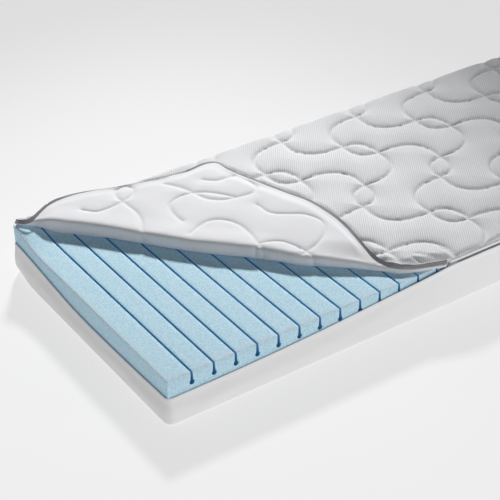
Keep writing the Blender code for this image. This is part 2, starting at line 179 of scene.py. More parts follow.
def directions(points):
    """Unit tangents along a polyline."""
    steps = np.gradient(points, axis=0)
    return steps / np.linalg.norm(steps, axis=1)[:, None]


# ---------------------------------------------------------------- meshes

MERGE_DISTANCE = 2e-6


def add_mesh(name, points, faces, finish, smooth_angle=50):
    """A new piece, smooth shaded except at edges sharper than the angle."""
    mesh = bpy.data.meshes.new(name)
    corner_lists = [tuple(map(int, face)) for face in faces]
    mesh.from_pydata([tuple(map(float, point)) for point in points], [], corner_lists)
    mesh.validate()
    mesh.materials.append(finish)
    mesh.shade_smooth()
    mesh.set_sharp_from_angle(angle=math.radians(smooth_angle))
    piece = bpy.data.objects.new(name, mesh)
    bpy.context.scene.collection.objects.link(piece)
    return piece


def grid_faces(rows, columns, wrap=False):
    """Quads of a grid of points, row by row; wrap joins the last column to the first."""
    first = np.arange(rows * columns).reshape(rows, columns)
    if wrap:
        first = np.hstack((first, first[:, :1]))
    quads = np.stack((first[:-1, :-1], first[:-1, 1:], first[1:, 1:], first[1:, :-1]), axis=-1)
    return quads.reshape(-1, 4).tolist()


def rim_loop(rows, columns):
    """Indices round the outside of a grid, in order."""
    index = np.arange(rows * columns).reshape(rows, columns)
    return np.concatenate((index[0, :-1], index[:-1, -1], index[-1, :0:-1], index[:0:-1, 0]))


def ring_faces(upper, lower):
    """Quads between two closed rings of point indices."""
    return np.stack((upper, np.roll(upper, -1), np.roll(lower, -1), lower), axis=1).tolist()


def swept(name, sections, finish, smooth_angle=50):
    """A closed body from cross-sections (stations, corners, 3), with capped ends."""
    rows, columns = sections.shape[:2]
    faces = grid_faces(rows, columns, wrap=True)
    faces.append(list(range(columns))[::-1])
    faces.append(list(range((rows - 1) * columns, rows * columns)))
    return outward(add_mesh(name, sections.reshape(-1, 3), faces, finish, smooth_angle))


def outward(piece):
    """Merges points that lie on each other, and turns the faces of a closed piece outwards."""
    bm = bmesh.new()
    bm.from_mesh(piece.data)
    bmesh.ops.remove_doubles(bm, verts=bm.verts, dist=MERGE_DISTANCE)
    bmesh.ops.recalc_face_normals(bm, faces=bm.faces)
    bm.to_mesh(piece.data)
    bm.free()
    return piece


def plank(points, across, width, thickness, offset=0.0):
    """Cross-sections of a flat ribbon: from points, width along across, thickness to both sides."""
    tangent = directions(points)
    normal = np.cross(tangent, across)
    normal /= np.linalg.norm(normal, axis=1)[:, None]
    half = thickness / 2
    near = points + across * offset
    far = near + across * width
    mid = (near + far) / 2
    up = normal * half
    return np.stack((near - up, mid - up, far - up, far + up, mid + up, near + up), axis=1)


# ---------------------------------------------------------------- materials


class Nodes:
    """A material's node tree with short calls for the nodes used here."""

    def __init__(self, name):
        self.material = bpy.data.materials.new(name)
        self.material.use_nodes = True
        self.tree = self.material.node_tree
        self.shader = self.tree.nodes["Principled BSDF"]
        self.place = self.add("ShaderNodeTexCoord").outputs["Object"]

    def add(self, kind, **settings):
        """A new node of this kind."""
        node = self.tree.nodes.new(kind)
        for key, value in settings.items():
            setattr(node, key, value)
        return node

    def feed(self, node, values):
        """Gives a node's inputs plain values or other nodes' outputs."""
        for key, value in values.items():
            if isinstance(value, bpy.types.NodeSocket):
                self.tree.links.new(value, node.inputs[key])
            else:
                node.inputs[key].default_value = value
        return node

    def set(self, name, value):
        """Gives one of the shader's inputs a value or another node's output."""
        self.feed(self.shader, {name: value})

    def turned(self, angles=(0, 0, 0), scale=(1, 1, 1)):
        """Places on the object, turned and scaled."""
        node = self.add("ShaderNodeMapping")
        return self.feed(node, {"Vector": self.place, "Rotation": angles, "Scale": scale}).outputs["Vector"]

    def attribute(self, name):
        """A value stored with the mesh."""
        return self.add("ShaderNodeAttribute", attribute_name=name).outputs["Fac"]

    def noise(self, scale, detail=2.0, place=None, roughness=0.5):
        """Soft clouds; scale is how many fit in a metre."""
        node = self.add("ShaderNodeTexNoise")
        values = {"Vector": place or self.place, "Scale": scale, "Detail": detail, "Roughness": roughness}
        return self.feed(node, values).outputs["Fac"]

    def cells(self, scale):
        """Distance from the middle of round cells, as in foam."""
        node = self.add("ShaderNodeTexVoronoi")
        return self.feed(node, {"Vector": self.place, "Scale": scale}).outputs["Distance"]

    def ribs(self, scale, place, distortion):
        """Parallel soft ribs across the first direction of place."""
        node = self.add("ShaderNodeTexWave")
        values = {"Vector": place, "Scale": scale, "Distortion": distortion, "Detail Scale": 2.0}
        return self.feed(node, values).outputs["Fac"]

    def math(self, operation, a, b):
        """A sum, product or other operation on two values."""
        node = self.add("ShaderNodeMath", operation=operation)
        return self.feed(node, {0: a, 1: b}).outputs["Value"]

    def between(self, value, low, high, to_low=0.0, to_high=1.0):
        """A value's range from low to high, moved to another range."""
        node = self.add("ShaderNodeMapRange")
        values = {"Value": value, "From Min": low, "From Max": high, "To Min": to_low, "To Max": to_high}
        return self.feed(node, values).outputs["Result"]

    def mix(self, share, first, second):
        """A colour between two colours; inputs 6 and 7 and output 2 are the node's colours."""
        node = self.add("ShaderNodeMix", data_type="RGBA")
        return self.feed(node, {0: share, 6: first, 7: second}).outputs[2]

    def bump(self, height, distance, strength):
        """Fine relief on the surface."""
        node = self.add("ShaderNodeBump")
        self.feed(node, {"Height": height, "Distance": distance, "Strength": strength})
        self.set("Normal", node.outputs["Normal"])


def linear(*srgb):
    """An sRGB colour from 0 to 255 as a linear RGBA value."""
    values = []
    for value in srgb:
        v = value / 255
        values.append(v / 12.92 if v <= 0.04045 else ((v + 0.055) / 1.055) ** 2.4)
    return (*values, 1.0)


def foam_material():
    """Open-cell polyurethane foam: pale blue, with pores about a millimetre across."""
    n = Nodes("blue_foam")
    pores = n.cells(900)
    large = n.cells(330)
    cloud = n.noise(9, 3)
    speck = n.between(pores, 0.15, 0.75)
    mottle = n.noise(190, 4, roughness=0.8)
    tone = n.mix(n.between(mottle, 0.40, 0.60), linear(170, 213, 230), linear(226, 243, 249))
    tone = n.mix(n.math("MULTIPLY", cloud, 0.3), tone, linear(190, 224, 236))
    # Painted highlight: the cut top edges are lightened as if catching the light.
    tone = n.mix(n.math("MULTIPLY", n.attribute("cut_edge"), 0.6), tone, linear(236, 246, 250))
    # Painted shade: the slot walls get a deeper, more saturated blue that darkens with depth, standing in
    # for the shade inside the slots.
    inside = n.attribute("slot_inside")
    deep = n.attribute("slot_deep")
    wall = n.mix(deep, linear(130, 214, 250), linear(62, 142, 190))
    tone = n.mix(inside, tone, wall)
    colour = n.mix(n.math("MULTIPLY", speck, 0.25), tone, linear(168, 208, 224))
    n.set("Base Color", colour)
    n.set("Roughness", n.between(cloud, 0.2, 0.8, 0.85, 0.95))
    n.set("Specular IOR Level", 0.15)
    n.set("Sheen Weight", 0.10)
    # Painted light: a faint blue glow lifts the foam's shadows, standing in for light scattered inside the
    # foam.
    n.set("Emission Color", linear(40, 150, 220))
    n.set("Emission Strength", 0.055)
    height = n.math("ADD", n.math("MULTIPLY", pores, 0.6), n.math("MULTIPLY", large, 0.5))
    n.bump(height, 0.0009, 0.7)
    return n.material


def knit_material(name):
    """The quilt's face: a fine white knit with diagonal ribs."""
    n = Nodes(name)
    ribs = n.ribs(50, n.turned((0, 0, math.radians(33))), 0.4)
    cross = n.ribs(90, n.turned((0, 0, math.radians(-57))), 0.4)
    loops = n.math("ADD", n.math("MULTIPLY", ribs, 0.7), n.math("MULTIPLY", cross, 0.3))
    cloud = n.noise(7, 3)
    tone = n.mix(cloud, linear(226, 227, 229), linear(236, 236, 238))
    n.set("Base Color", n.mix(n.between(loops, 0.1, 0.9), linear(222, 223, 226), tone))
    n.set("Roughness", n.between(loops, 0, 1, 0.9, 0.75))
    n.set("Specular IOR Level", 0.2)
    n.set("Sheen Weight", 0.25)
    n.set("Sheen Roughness", 0.6)
    n.bump(loops, 0.0012, 0.6)
    return n.material


def jersey_material(name, light, dark, tilt=0.0, painted_glow=0.0):
    """Smooth stretch jersey: fine wales, faint creases and a soft sheen."""
    n = Nodes(name)
    wales = n.ribs(160, n.turned((0, 0, tilt)), 0.6)
    courses = n.ribs(190, n.turned((0, math.radians(90), tilt)), 0.6)
    weave = n.math("ADD", wales, courses)
    cloud = n.noise(5, 3)
    creases = n.noise(14, 4, n.turned(scale=(1, 1, 2.5)), 0.55)
    n.set("Base Color", n.mix(cloud, light, dark))
    n.set("Roughness", n.between(cloud, 0.3, 0.7, 0.72, 0.86))
    n.set("Specular IOR Level", 0.25)
    n.set("Sheen Weight", 0.2)
    n.set("Sheen Roughness", 0.5)
    # Painted light: the glow strength makes the cloth shine faintly by itself, brightening its shaded
    # sides.
    n.set("Emission Color", (1, 1, 1, 1))
    n.set("Emission Strength", painted_glow)
    height = n.math("ADD", n.math("MULTIPLY", weave, 0.05), creases)
    n.bump(height, 0.0025, 0.35)
    return n.material


def binding_material():
    """White woven edge tape with a fine twill."""
    n = Nodes("woven_binding")
    twill = n.ribs(220, n.turned((0, 0, math.radians(45))), 0.3)
    cloud = n.noise(20, 2)
    n.set("Base Color", n.mix(cloud, linear(228, 229, 231), linear(238, 238, 240)))
    n.set("Roughness", n.between(twill, 0, 1, 0.8, 0.65))
    n.bump(twill, 0.0004, 0.6)
    return n.material


def tape_material():
    """Grey woven zip tape: two fine ribs that cross, like a twill."""
    n = Nodes("grey_zip_tape")
    twill = n.ribs(260, n.turned((0, 0, math.radians(30))), 0.5)
    cross = n.ribs(240, n.turned((0, math.radians(90), 0)), 0.5)
    weave = n.math("MULTIPLY", n.math("ADD", twill, cross), 0.5)
    cloud = n.noise(30, 3)
    tone = n.mix(cloud, linear(158, 157, 163), linear(170, 169, 175))
    n.set("Base Color", n.mix(n.between(weave, 0.2, 0.9), linear(138, 137, 143), tone))
    n.set("Roughness", n.between(weave, 0, 1, 0.85, 0.7))
    n.bump(weave, 0.0005, 0.7)
    return n.material


def coil_material():
    """Nylon coil: darker grey with a slight gloss."""
    n = Nodes("grey_nylon_coil")
    cloud = n.noise(60, 2)
    n.set("Base Color", n.mix(cloud, linear(118, 117, 122), linear(136, 135, 140)))
    n.set("Roughness", n.between(cloud, 0.3, 0.7, 0.32, 0.5))
    n.bump(n.noise(900, 2), 0.0002, 0.3)
    return n.material


def metal_material():
    """Die-cast zip metal, satin, with fine brushing and an uneven tone."""
    n = Nodes("satin_zip_metal")
    brushed = n.noise(800, 3, n.turned(scale=(0.1, 1, 1)))
    cloud = n.noise(150, 2)
    n.set("Base Color", n.mix(cloud, linear(150, 151, 155), linear(182, 183, 186)))
    n.set("Metallic", 1.0)
    n.set("Roughness", n.between(brushed, 0.3, 0.7, 0.28, 0.46))
    n.bump(brushed, 0.0002, 0.3)
    return n.material


def floor_material():
    """Plain pale studio floor with a hint of unevenness."""
    n = Nodes("pale_floor")
    cloud = n.noise(1.5, 2)
    n.set("Base Color", n.mix(cloud, linear(122, 122, 123), linear(128, 128, 128)))
    n.set("Roughness", n.between(cloud, 0, 1, 0.85, 0.95))
    n.set("Specular IOR Level", 0.1)
    n.set("Emission Color", (1, 1, 1, 1))
    n.set("Emission Strength", 0.70)
    return n.material


# ---------------------------------------------------------------- camera, light and floor

CAMERA_PLACE = (-2.372, -2.986, 2.396)
CAMERA_YAW = 32.87
CAMERA_PITCH = -32.87
CAMERA_ROLL = -1.77
CAMERA_LENS = 103.9
SENSOR = 36.0

HORIZON_LIGHT = 0.80
ZENITH_LIGHT = 0.08
HORIZON_BAND = 0.32
KEY_POWER = 3050
KEY_CONE = 29
KEY_SIZE = 0.42
KEY_DIRECTION = (0.49, 0.744, 0.56)
KEY_DISTANCE = 8.0
KEY_TARGET = (-1.00, -0.35, 0.15)
FRONT_POWER = 75
FRONT_PLACE = (2.6, -4.0, 0.8)
FRONT_SIZE = 2.4
SIDE_POWER = 16
SIDE_PLACE = (-3.0, -3.0, 0.6)
SIDE_SIZE = 1.6
FILL_TARGET = (0, 0, 0.1)
FLOOR_HALF = 60.0
FLOOR_DROP = 0.0005


def add_camera():
    """The photograph's view: from the front left, well above the mattress, with a long lens."""
    data = bpy.data.cameras.new("camera")
    data.lens = CAMERA_LENS
    data.sensor_width = SENSOR
    camera = bpy.data.objects.new("camera", data)
    bpy.context.scene.collection.objects.link(camera)
    yaw = math.radians(CAMERA_YAW)
    pitch = math.radians(CAMERA_PITCH)
    roll = math.radians(CAMERA_ROLL)
    ahead = Vector((math.sin(yaw) * math.cos(pitch), math.cos(yaw) * math.cos(pitch), math.sin(pitch)))
    right = Vector((math.cos(yaw), -math.sin(yaw), 0))
    up = right.cross(ahead)
    right_rolled = right * math.cos(roll) + up * math.sin(roll)
    up_rolled = up * math.cos(roll) - right * math.sin(roll)
    turn = Matrix((right_rolled, up_rolled, -ahead)).transposed()
    camera.matrix_world = Matrix.Translation(CAMERA_PLACE) @ turn.to_4x4()
    bpy.context.scene.camera = camera


def place_light(data, place, target):
    """Puts a light in the scene, pointing at the target."""
    light = bpy.data.objects.new(data.name, data)
    bpy.context.scene.collection.objects.link(light)
    light.location = place
    light.rotation_euler = (Vector(target) - light.location).to_track_quat("-Z", "Y").to_euler()


def add_fill_light(name, place, size, power):
    """A weak, soft, round light."""
    data = bpy.data.lights.new(name, "AREA")
    data.shape = "DISK"
    data.size = size
    data.energy = power
    place_light(data, place, FILL_TARGET)


def add_key_light():
    """A soft spot from behind the mattress, low enough to shade every pillow."""
    data = bpy.data.lights.new("key_light", "SPOT")
    data.energy = KEY_POWER
    data.shadow_soft_size = KEY_SIZE
    data.spot_size = math.radians(KEY_CONE)
    data.spot_blend = 1.0
    place_light(data, Vector(KEY_TARGET) + Vector(KEY_DIRECTION).normalized() * KEY_DISTANCE, KEY_TARGET)


def studio_world():
    """A plain white room, brighter near the horizon than overhead."""
    world = bpy.data.worlds.new("studio")
    world.use_nodes = True
    nodes = world.node_tree.nodes
    links = world.node_tree.links
    background = nodes["Background"]
    background.inputs["Color"].default_value = (1, 1, 1, 1)
    split = nodes.new("ShaderNodeSeparateXYZ")
    links.new(nodes.new("ShaderNodeTexCoord").outputs["Generated"], split.inputs["Vector"])
    height = nodes.new("ShaderNodeMapRange")
    height.interpolation_type = "SMOOTHSTEP"
    height.inputs["From Max"].default_value = HORIZON_BAND
    height.inputs["To Min"].default_value = HORIZON_LIGHT
    height.inputs["To Max"].default_value = ZENITH_LIGHT
    links.new(split.outputs["Z"], height.inputs["Value"])
    links.new(height.outputs["Result"], background.inputs["Strength"])
    return world


def add_light():
    """Soft studio light: a bright room, a key light from behind, and two weak fills on the near sides."""
    scene = bpy.context.scene
    scene.view_settings.view_transform = "Standard"
    scene.view_settings.look = "None"
    scene.world = studio_world()
    add_key_light()
    add_fill_light("front_fill", FRONT_PLACE, FRONT_SIZE, FRONT_POWER)
    add_fill_light("side_fill", SIDE_PLACE, SIDE_SIZE, SIDE_POWER)


def add_floor():
    """The ground, a hair below the cover's underside."""
    half = FLOOR_HALF
    points = [(-half, -half, 0), (half, -half, 0), (half, half, 0), (-half, half, 0)]
    floor = add_mesh("floor", points, [(0, 1, 2, 3)], floor_material())
    floor.location.z = -FLOOR_DROP


# ---------------------------------------------------------------- foam core

SLOT_COUNT = 28
SLOT_END_DISTANCE = 0.073
SLOT_MOUTH = 0.0060
SLOT_FLARE = 0.0092
SLOT_FLARE_DEPTH = 0.028
SLOT_HOLE_RADIUS = 0.0078
SLOT_HOLE_DEPTH = 0.0335
SLOT_LIP = 0.0010
# Points down the neck and round the hole
NECK_DEPTHS = (0.0030, 0.0060, 0.010)
HOLE_POINTS = 14
# The painted shade on a slot's walls, a deeper blue: from and to which depth, how far from the ends, and
# how it fades in
WALL_TOP = 0.0006
WALL_BOTTOM = 0.045
WALL_FROM_END = 0.02
DEEP_FADE = 0.006
SLOT_PITCH = float((FOAM_HIGH[0] - FOAM_LOW[0] - 2 * SLOT_END_DISTANCE) / (SLOT_COUNT - 1))
FOAM_EDGE = 0.0022
# The block's rounded edges are made in two steps, the first this share of the way
EDGE_STEP = 0.3
# The pull on the back corner fades out this far below the top
LIFT_DEPTH = 0.10
# Below the pulled corner the block is rounded off: by how much, along how far and up to what height
FOAM_CORNER_ROUND = 0.025
FOAM_CORNER_REACH = 0.075
FOAM_CORNER_HEIGHT = 0.05


def slot_half_width(depth):
    """Half the width of a slot's neck, which widens downwards."""
    return (SLOT_MOUTH + (SLOT_FLARE - SLOT_MOUTH) * depth / SLOT_FLARE_DEPTH) / 2


def slot_profile(x):
    """One keyhole slot, down its left wall, round the hole and up the right wall, as (x, depth)."""
    step = SLOT_LIP * EDGE_STEP
    wall = [(SLOT_MOUTH / 2 + SLOT_LIP, 0.0), (SLOT_MOUTH / 2 + step, step), (SLOT_MOUTH / 2, SLOT_LIP)]
    wall += [(slot_half_width(depth), depth) for depth in NECK_DEPTHS]
    wall.append((SLOT_FLARE / 2, SLOT_FLARE_DEPTH))
    opening = math.asin(SLOT_FLARE / 2 / SLOT_HOLE_RADIUS)
    turn = np.linspace(math.pi / 2 + opening, 2.5 * math.pi - opening, HOLE_POINTS)
    radius = SLOT_HOLE_RADIUS
    hole = [(x + radius * math.cos(a), SLOT_HOLE_DEPTH - radius * math.sin(a)) for a in turn]
    left = [(x - half, depth) for half, depth in wall]
    right = [(x + half, depth) for half, depth in wall[::-1]]
    return left + hole + right


def slot_faces(foam):
    """1 for each face on a slot's walls, and how deep it lies, from 0 at the mouth to 1; these place the
    slots' painted shade.
    """
    centres = np.array([face.center for face in foam.data.polygons])
    corners_of_face = np.array([len(face.vertices) for face in foam.data.polygons])
    from_first = centres[:, 0] - FOAM_LOW[0] - SLOT_END_DISTANCE
    nearest = np.abs((from_first + SLOT_PITCH / 2) % SLOT_PITCH - SLOT_PITCH / 2)
    depth = FOAM_TOP + lift(centres[:, :2]) - centres[:, 2]
    slot = (nearest < SLOT_HOLE_RADIUS * 1.2) & (depth > WALL_TOP) & (depth < WALL_BOTTOM)
    slot &= (centres[:, 0] > FOAM_LOW[0] + WALL_FROM_END) & (centres[:, 0] < FOAM_HIGH[0] - WALL_FROM_END)
    slot &= corners_of_face == 4
    slot &= (nearest < SLOT_MOUTH / 2 + 0.0015) | (depth > FOAM_EDGE)
    return slot.astype(float), slot * smooth((depth - 0.001) / DEEP_FADE)


def paint_foam(foam):
    """Marks the cut top edges for a painted highlight, and the walls inside the slots for a painted shade
    of deeper blue.
    """
    places = np.array([vertex.co for vertex in foam.data.vertices])
    level = places[:, 2] - lift(places[:, :2])
    near_top = np.exp(-(((FOAM_TOP - level) / 0.0015) ** 2))
    from_foot = np.abs(places[:, 0] - FOAM_LOW[0])
    from_head = np.abs(places[:, 0] - FOAM_HIGH[0])
    from_side = np.abs(np.abs(places[:, 1]) - FOAM_HIGH[1])
    outside = np.minimum(np.minimum(from_foot, from_head), from_side) < FOAM_EDGE * 1.01
    attribute = foam.data.attributes.new("cut_edge", "FLOAT", "POINT")
    attribute.data.foreach_set("value", (near_top * outside).astype(np.float32))
    inside, deep = slot_faces(foam)
    for name, values in (("slot_inside", inside), ("slot_deep", deep)):
        attribute = foam.data.attributes.new(name, "FLOAT", "FACE")
        attribute.data.foreach_set("value", values.astype(np.float32))


def foam_outline():
    """The block seen from the front, with every slot in its top, as (x, depth below the top)."""
    low_x = float(FOAM_LOW[0])
    high_x = float(FOAM_HIGH[0])
    outline = [(low_x, FOAM_EDGE), (low_x + FOAM_EDGE * EDGE_STEP, FOAM_EDGE * EDGE_STEP)]
    start = low_x + FOAM_EDGE
    for slot in range(SLOT_COUNT):
        centre = low_x + SLOT_END_DISTANCE + slot * SLOT_PITCH
        stop = centre - SLOT_MOUTH / 2 - SLOT_LIP
        for share in np.linspace(0, 1, 6, endpoint=False):
            outline.append((start + (stop - start) * share, 0.0))
        outline += slot_profile(centre)
        start = centre + SLOT_MOUTH / 2 + SLOT_LIP
    for share in np.linspace(0, 1, 7):
        outline.append((start + (high_x - FOAM_EDGE - start) * share, 0.0))
    outline.append((high_x - FOAM_EDGE * EDGE_STEP, FOAM_EDGE * EDGE_STEP))
    outline.append((high_x, FOAM_EDGE))
    levels = np.linspace(0.018, FOAM_TOP - float(FOAM_LOW[2]), 7)
    outline += [(high_x, depth) for depth in levels]
    outline += [(low_x, depth) for depth in levels[::-1]]
    return np.array(outline)


def foam_sections(outline):
    """The outline at stations from front to back, pulled up and rounded off at the back corner."""
    half = float(FOAM_HIGH[1])
    ys = np.concatenate((
        [-half, -half + FOAM_EDGE * EDGE_STEP, -half + FOAM_EDGE],
        np.linspace(-half + FOAM_EDGE, half - FOAM_EDGE, 48)[1:-1],
        [half - FOAM_EDGE, half - FOAM_EDGE * EDGE_STEP, half],
    ))
    drop = np.zeros_like(ys)
    drop[0] = drop[-1] = FOAM_EDGE
    drop[1] = drop[-2] = FOAM_EDGE * EDGE_STEP
    depth = np.maximum(outline[None, :, 1], drop[:, None] * (outline[None, :, 1] < 0.005))
    sections = np.zeros((len(ys), len(outline), 3))
    sections[:, :, 0] = outline[None, :, 0]
    sections[:, :, 1] = ys[:, None]
    sections[:, :, 2] = FOAM_TOP - depth
    sections[:, :, 2] += lift(sections[:, :, :2]) * smooth(1 - depth / LIFT_DEPTH)
    foot_face = outline[:, 0] == float(FOAM_LOW[0])
    far_corner = np.exp(-(((half - ys) / FOAM_CORNER_REACH) ** 2))
    low = np.clip(1 - sections[:, foot_face, 2] / FOAM_CORNER_HEIGHT, 0, 1) ** 2
    sections[:, foot_face, 0] += FOAM_CORNER_ROUND * far_corner[:, None] * low
    return sections


def add_foam():
    """The slotted foam block, with cut edges a little rounded and its back corner pulled up."""
    foam = swept("foam_block", foam_sections(foam_outline()), foam_material(), 40)
    paint_foam(foam)
    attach(foam, "mattress")
    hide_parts("foam_core")


# ---------------------------------------------------------------- lower cover

STATION_STEP = 0.008
COVER_SKIN = 0.0020
INNER_RIM_DROP = 0.0002
HEM_HEIGHT = 0.010
HEM_EXTRA = 0.0009
RIM_LEAN = 0.0068
# Heights of the rows of points, as shares of the rim's height; the last four make the hem
ROW_LEVELS = np.concatenate(([0.0, 0.02, 0.06], np.linspace(0.12, 0.86, 12), [0.92, 0.93, 0.965, 1.0]))
BOTTOM_ROUND = 0.0045
BOTTOM_ROUND_HEIGHT = 0.007
BELLY = 0.0012
# The loose cloth's creases and the held cloth's ripples: height and length
CREASE = 0.0022
CREASE_LENGTH = 0.11
RIPPLE = 0.0007
RIPPLE_LENGTH = 0.05
# The far bottom corner is rounded off more: by how much, along how far and up to what height
FAR_ROUND = 0.020
FAR_REACH = 0.07
FAR_HEIGHT = 0.045


def outline_stations():
    """The cover's rounded rectangle in plan, from the back edge round foot, front and head."""
    reach = np.array((HALF_X - CORNER_RADIUS, HALF_Y - CORNER_RADIUS))
    arcs = []
    for sides, start in (((-1, 1), 90), ((-1, -1), 180), ((1, -1), 270), ((1, 1), 0)):
        turn = np.radians(start + np.linspace(0, 90, 9))
        arc_normals = np.stack((np.cos(turn), np.sin(turn)), axis=1)
        arcs.append((reach * sides + CORNER_RADIUS * arc_normals, arc_normals))
    points = []
    normals = []
    for (arc, arc_normals), (following, _) in zip(arcs, arcs[1:] + arcs[:1]):
        side = following[0] - arc[-1]
        shares = np.linspace(0, 1, int(np.linalg.norm(side) / STATION_STEP) + 1)[1:-1]
        points += [*arc, *(arc[-1] + np.multiply.outer(shares, side))]
        normals += [*arc_normals, *np.tile(arc_normals[-1], (len(shares), 1))]
    return np.array(points), np.array(normals)


def stations_from(x, y):
    """The cover's outline once round, from the station nearest to a plan point."""
    points, normals = outline_stations()
    start = int(np.argmin(np.linalg.norm(points - (x, y), axis=1)))
    return np.roll(points, -start, axis=0), np.roll(normals, -start, axis=0)


def rim_height(points):
    """Height of the lower cover's top edge, which slumps where the zip is open."""
    x = points[:, 0]
    y = points[:, 1]
    rise = RIM_SHOWN - RIM_CORNER
    height = np.full(len(points), RIM_SHOWN)
    back = y > HALF_Y - CORNER_RADIUS
    foot = (x < -HALF_X + CORNER_RADIUS) & ~back
    front = (x <= SLIDER_X) & ~foot & ~back
    along = np.clip((y + HALF_Y) / (2 * HALF_Y - CORNER_RADIUS), 0, 1)
    foot_rise = (RIM_BACK_CORNER - RIM_CORNER) * smooth(2 * along - 1)
    height[foot] = (RIM_CORNER - RIM_FOOT_SAG * along * (1 - along) + foot_rise)[foot]
    along = np.clip((x + HALF_X) / (SLIDER_X + HALF_X), 0, 1)
    height[front] = (RIM_CORNER + rise * along**2.2)[front]
    loose = back & (x <= ZIP_START_X)
    along = smooth((x + HALF_X - CORNER_RADIUS) / (ZIP_START_X + HALF_X - CORNER_RADIUS))
    height[loose] = (RIM_BACK_CORNER + (RIM_SHOWN - RIM_BACK_CORNER) * along)[loose]
    sewn = back & (x > ZIP_START_X) & (x < ZIP_END_X)
    height[sewn] = BACK_RIM
    return height


def openness(points):
    """1 where the zip is open and the cover hangs loose, 0 where it is held."""
    return smooth((RIM_SHOWN - rim_height(points)) / 0.030)


def rim_lean(points, level):
    """How far the loose rim leans in, onto the foam; level is 0 at the floor and 1 at the rim."""
    return RIM_LEAN * openness(points) * smooth((level - 0.35) / 0.65)


def cover_outside(points, normals):
    """Rows of points up the cover's outer side, slumped and softly creased round the open corner."""
    rim = rim_height(points)
    loose = openness(points)
    from_far_corner = np.linalg.norm(points - (-HALF_X, HALF_Y), axis=1)
    far_corner = np.exp(-((from_far_corner / FAR_REACH) ** 2))
    rows = []
    for level in ROW_LEVELS:
        z = rim * level
        at = np.column_stack((points, z))
        bulge = math.sin(math.pi * level)
        loose_bulge = math.sin(math.pi * min(level * 1.1, 1))
        belly = BELLY * bulge
        hem = np.where(rim - z < HEM_HEIGHT, HEM_EXTRA * (level < 1), 0.0)
        crease = CREASE * loose * waves(at * (1, 1, 2.2), CREASE_LENGTH, 1) * loose_bulge
        crease += RIPPLE * waves(at * (1, 1, 1.4), RIPPLE_LENGTH, 2) * bulge
        bottom = BOTTOM_ROUND * np.clip(1 - z / BOTTOM_ROUND_HEIGHT, 0, 1) ** 2
        out = belly + hem + crease - bottom - rim_lean(points, level)
        at[:, :2] += normals * out[:, None]
        at[:, 0] -= normals[:, 0] * FAR_ROUND * far_corner * np.clip(1 - z / FAR_HEIGHT, 0, 1) ** 2
        rows.append(at)
    return np.array(rows)


def cover_inside(outer, normals):
    """Rows of points down the cover's inner side, from the rim to the base panel's top."""
    rows = outer[:0:-1].copy()
    rows[:, :, :2] -= normals * (COVER_SKIN + TOUCH_GAP)
    rows[0, :, 2] -= INNER_RIM_DROP
    rows[:, :, 2] = np.maximum(rows[:, :, 2], BASE_TOP)
    return rows


def add_lower_cover():
    """Base and side panels as one sewn shell."""
    points, normals = outline_stations()
    outer = cover_outside(points, normals)
    shell = np.concatenate((outer, cover_inside(outer, normals)))
    count = len(points)
    faces = grid_faces(len(shell), count, wrap=True)
    faces.append(list(range(count)))
    faces.append(list(range((len(shell) - 1) * count, len(shell) * count))[::-1])
    # The lower cover is given a faint glow: painted light that brightens its shaded sides.
    finish = jersey_material("white_jersey", linear(228, 228, 229), linear(234, 234, 235), painted_glow=0.06)
    cover = outward(add_mesh("lower_cover", shell.reshape(-1, 3), faces, finish, 60))
    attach(cover, "mattress")
    panels = ("base_panel", "foot_side_panel", "front_side_panel", "head_side_panel", "back_side_panel")
    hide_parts(*panels)
    wall = float(rim_height(points).mean())


# ---------------------------------------------------------------- quilting pattern

# The quilting lines repeat in two directions: leaves (LEAF_SIDE and its mirror) joined by long waves.
# Places are in metres from a leaf's centre
PATTERN_PLACE = np.array((0.1157, 0.1992))
PATTERN_REPEAT = 0.300
PATTERN_ROW = 0.470
PATTERN_SLANT = 0.068
LEAF_SIDE = ((-0.0357, 0.0480), (-0.0032, 0.0428), (0.0208, 0.0273), (0.0324, 0.0026), (0.0389, -0.0234),
             (0.0357, -0.0480))
WAVE = ((0.0357, -0.0480), (0.0779, -0.0480), (0.1136, -0.0532), (0.1460, -0.0668), (0.1700, -0.0895),
        (0.1843, -0.1200), (0.1882, -0.1525), (0.1856, -0.1869))
SEAM_STEP = 0.003


def seam_lines():
    """Every quilting line over the mattress: leaves joined by long waves, rows mirrored in turn."""
    side = curve_through(LEAF_SIDE, SEAM_STEP)
    wave = curve_through(WAVE, SEAM_STEP)
    shapes = (side, -side, wave, -wave)
    lines = []
    for row in range(-4, 5):
        for column in range(-7, 8):
            shift_x = (column + 0.5 * (row % 2)) * PATTERN_REPEAT
            shift_y = -row * PATTERN_ROW / 2
            for shape in shapes:
                line = shape * (1, -1 if row % 2 else 1) + (shift_x, shift_y)
                line = line + np.column_stack((PATTERN_SLANT * line[:, 1], np.zeros(len(line))))
                lines.append(line + PATTERN_PLACE)
    return lines


def point_tree(spots):
    """A search tree of plan points."""
    tree = kdtree.KDTree(len(spots))
    for index, (x, y) in enumerate(spots):
        tree.insert((x, y, 0), index)
    tree.balance()
    return tree


def seam_finder():
    """A search tree of all points on the quilting lines, and each point's place along its line."""
    lines = seam_lines()
    runs = []
    for line in lines:
        for step in range(len(line)):
            runs.append(step * SEAM_STEP + 0.37 * (len(runs) % 7))
    return point_tree(np.vstack(lines)), np.array(runs)


SEAMS, SEAM_RUNS = seam_finder()


def seam_distance(xy):
    """Distance from each plan point to the nearest quilting line, and the place along that line."""
    found = [SEAMS.find((x, y, 0)) for x, y in xy]
    away = np.array([item[2] for item in found])
    run = SEAM_RUNS[[item[1] for item in found]]
    between_points = SEAM_STEP * 0.3
    return np.sqrt(np.maximum(away**2 - between_points**2, 0)), run


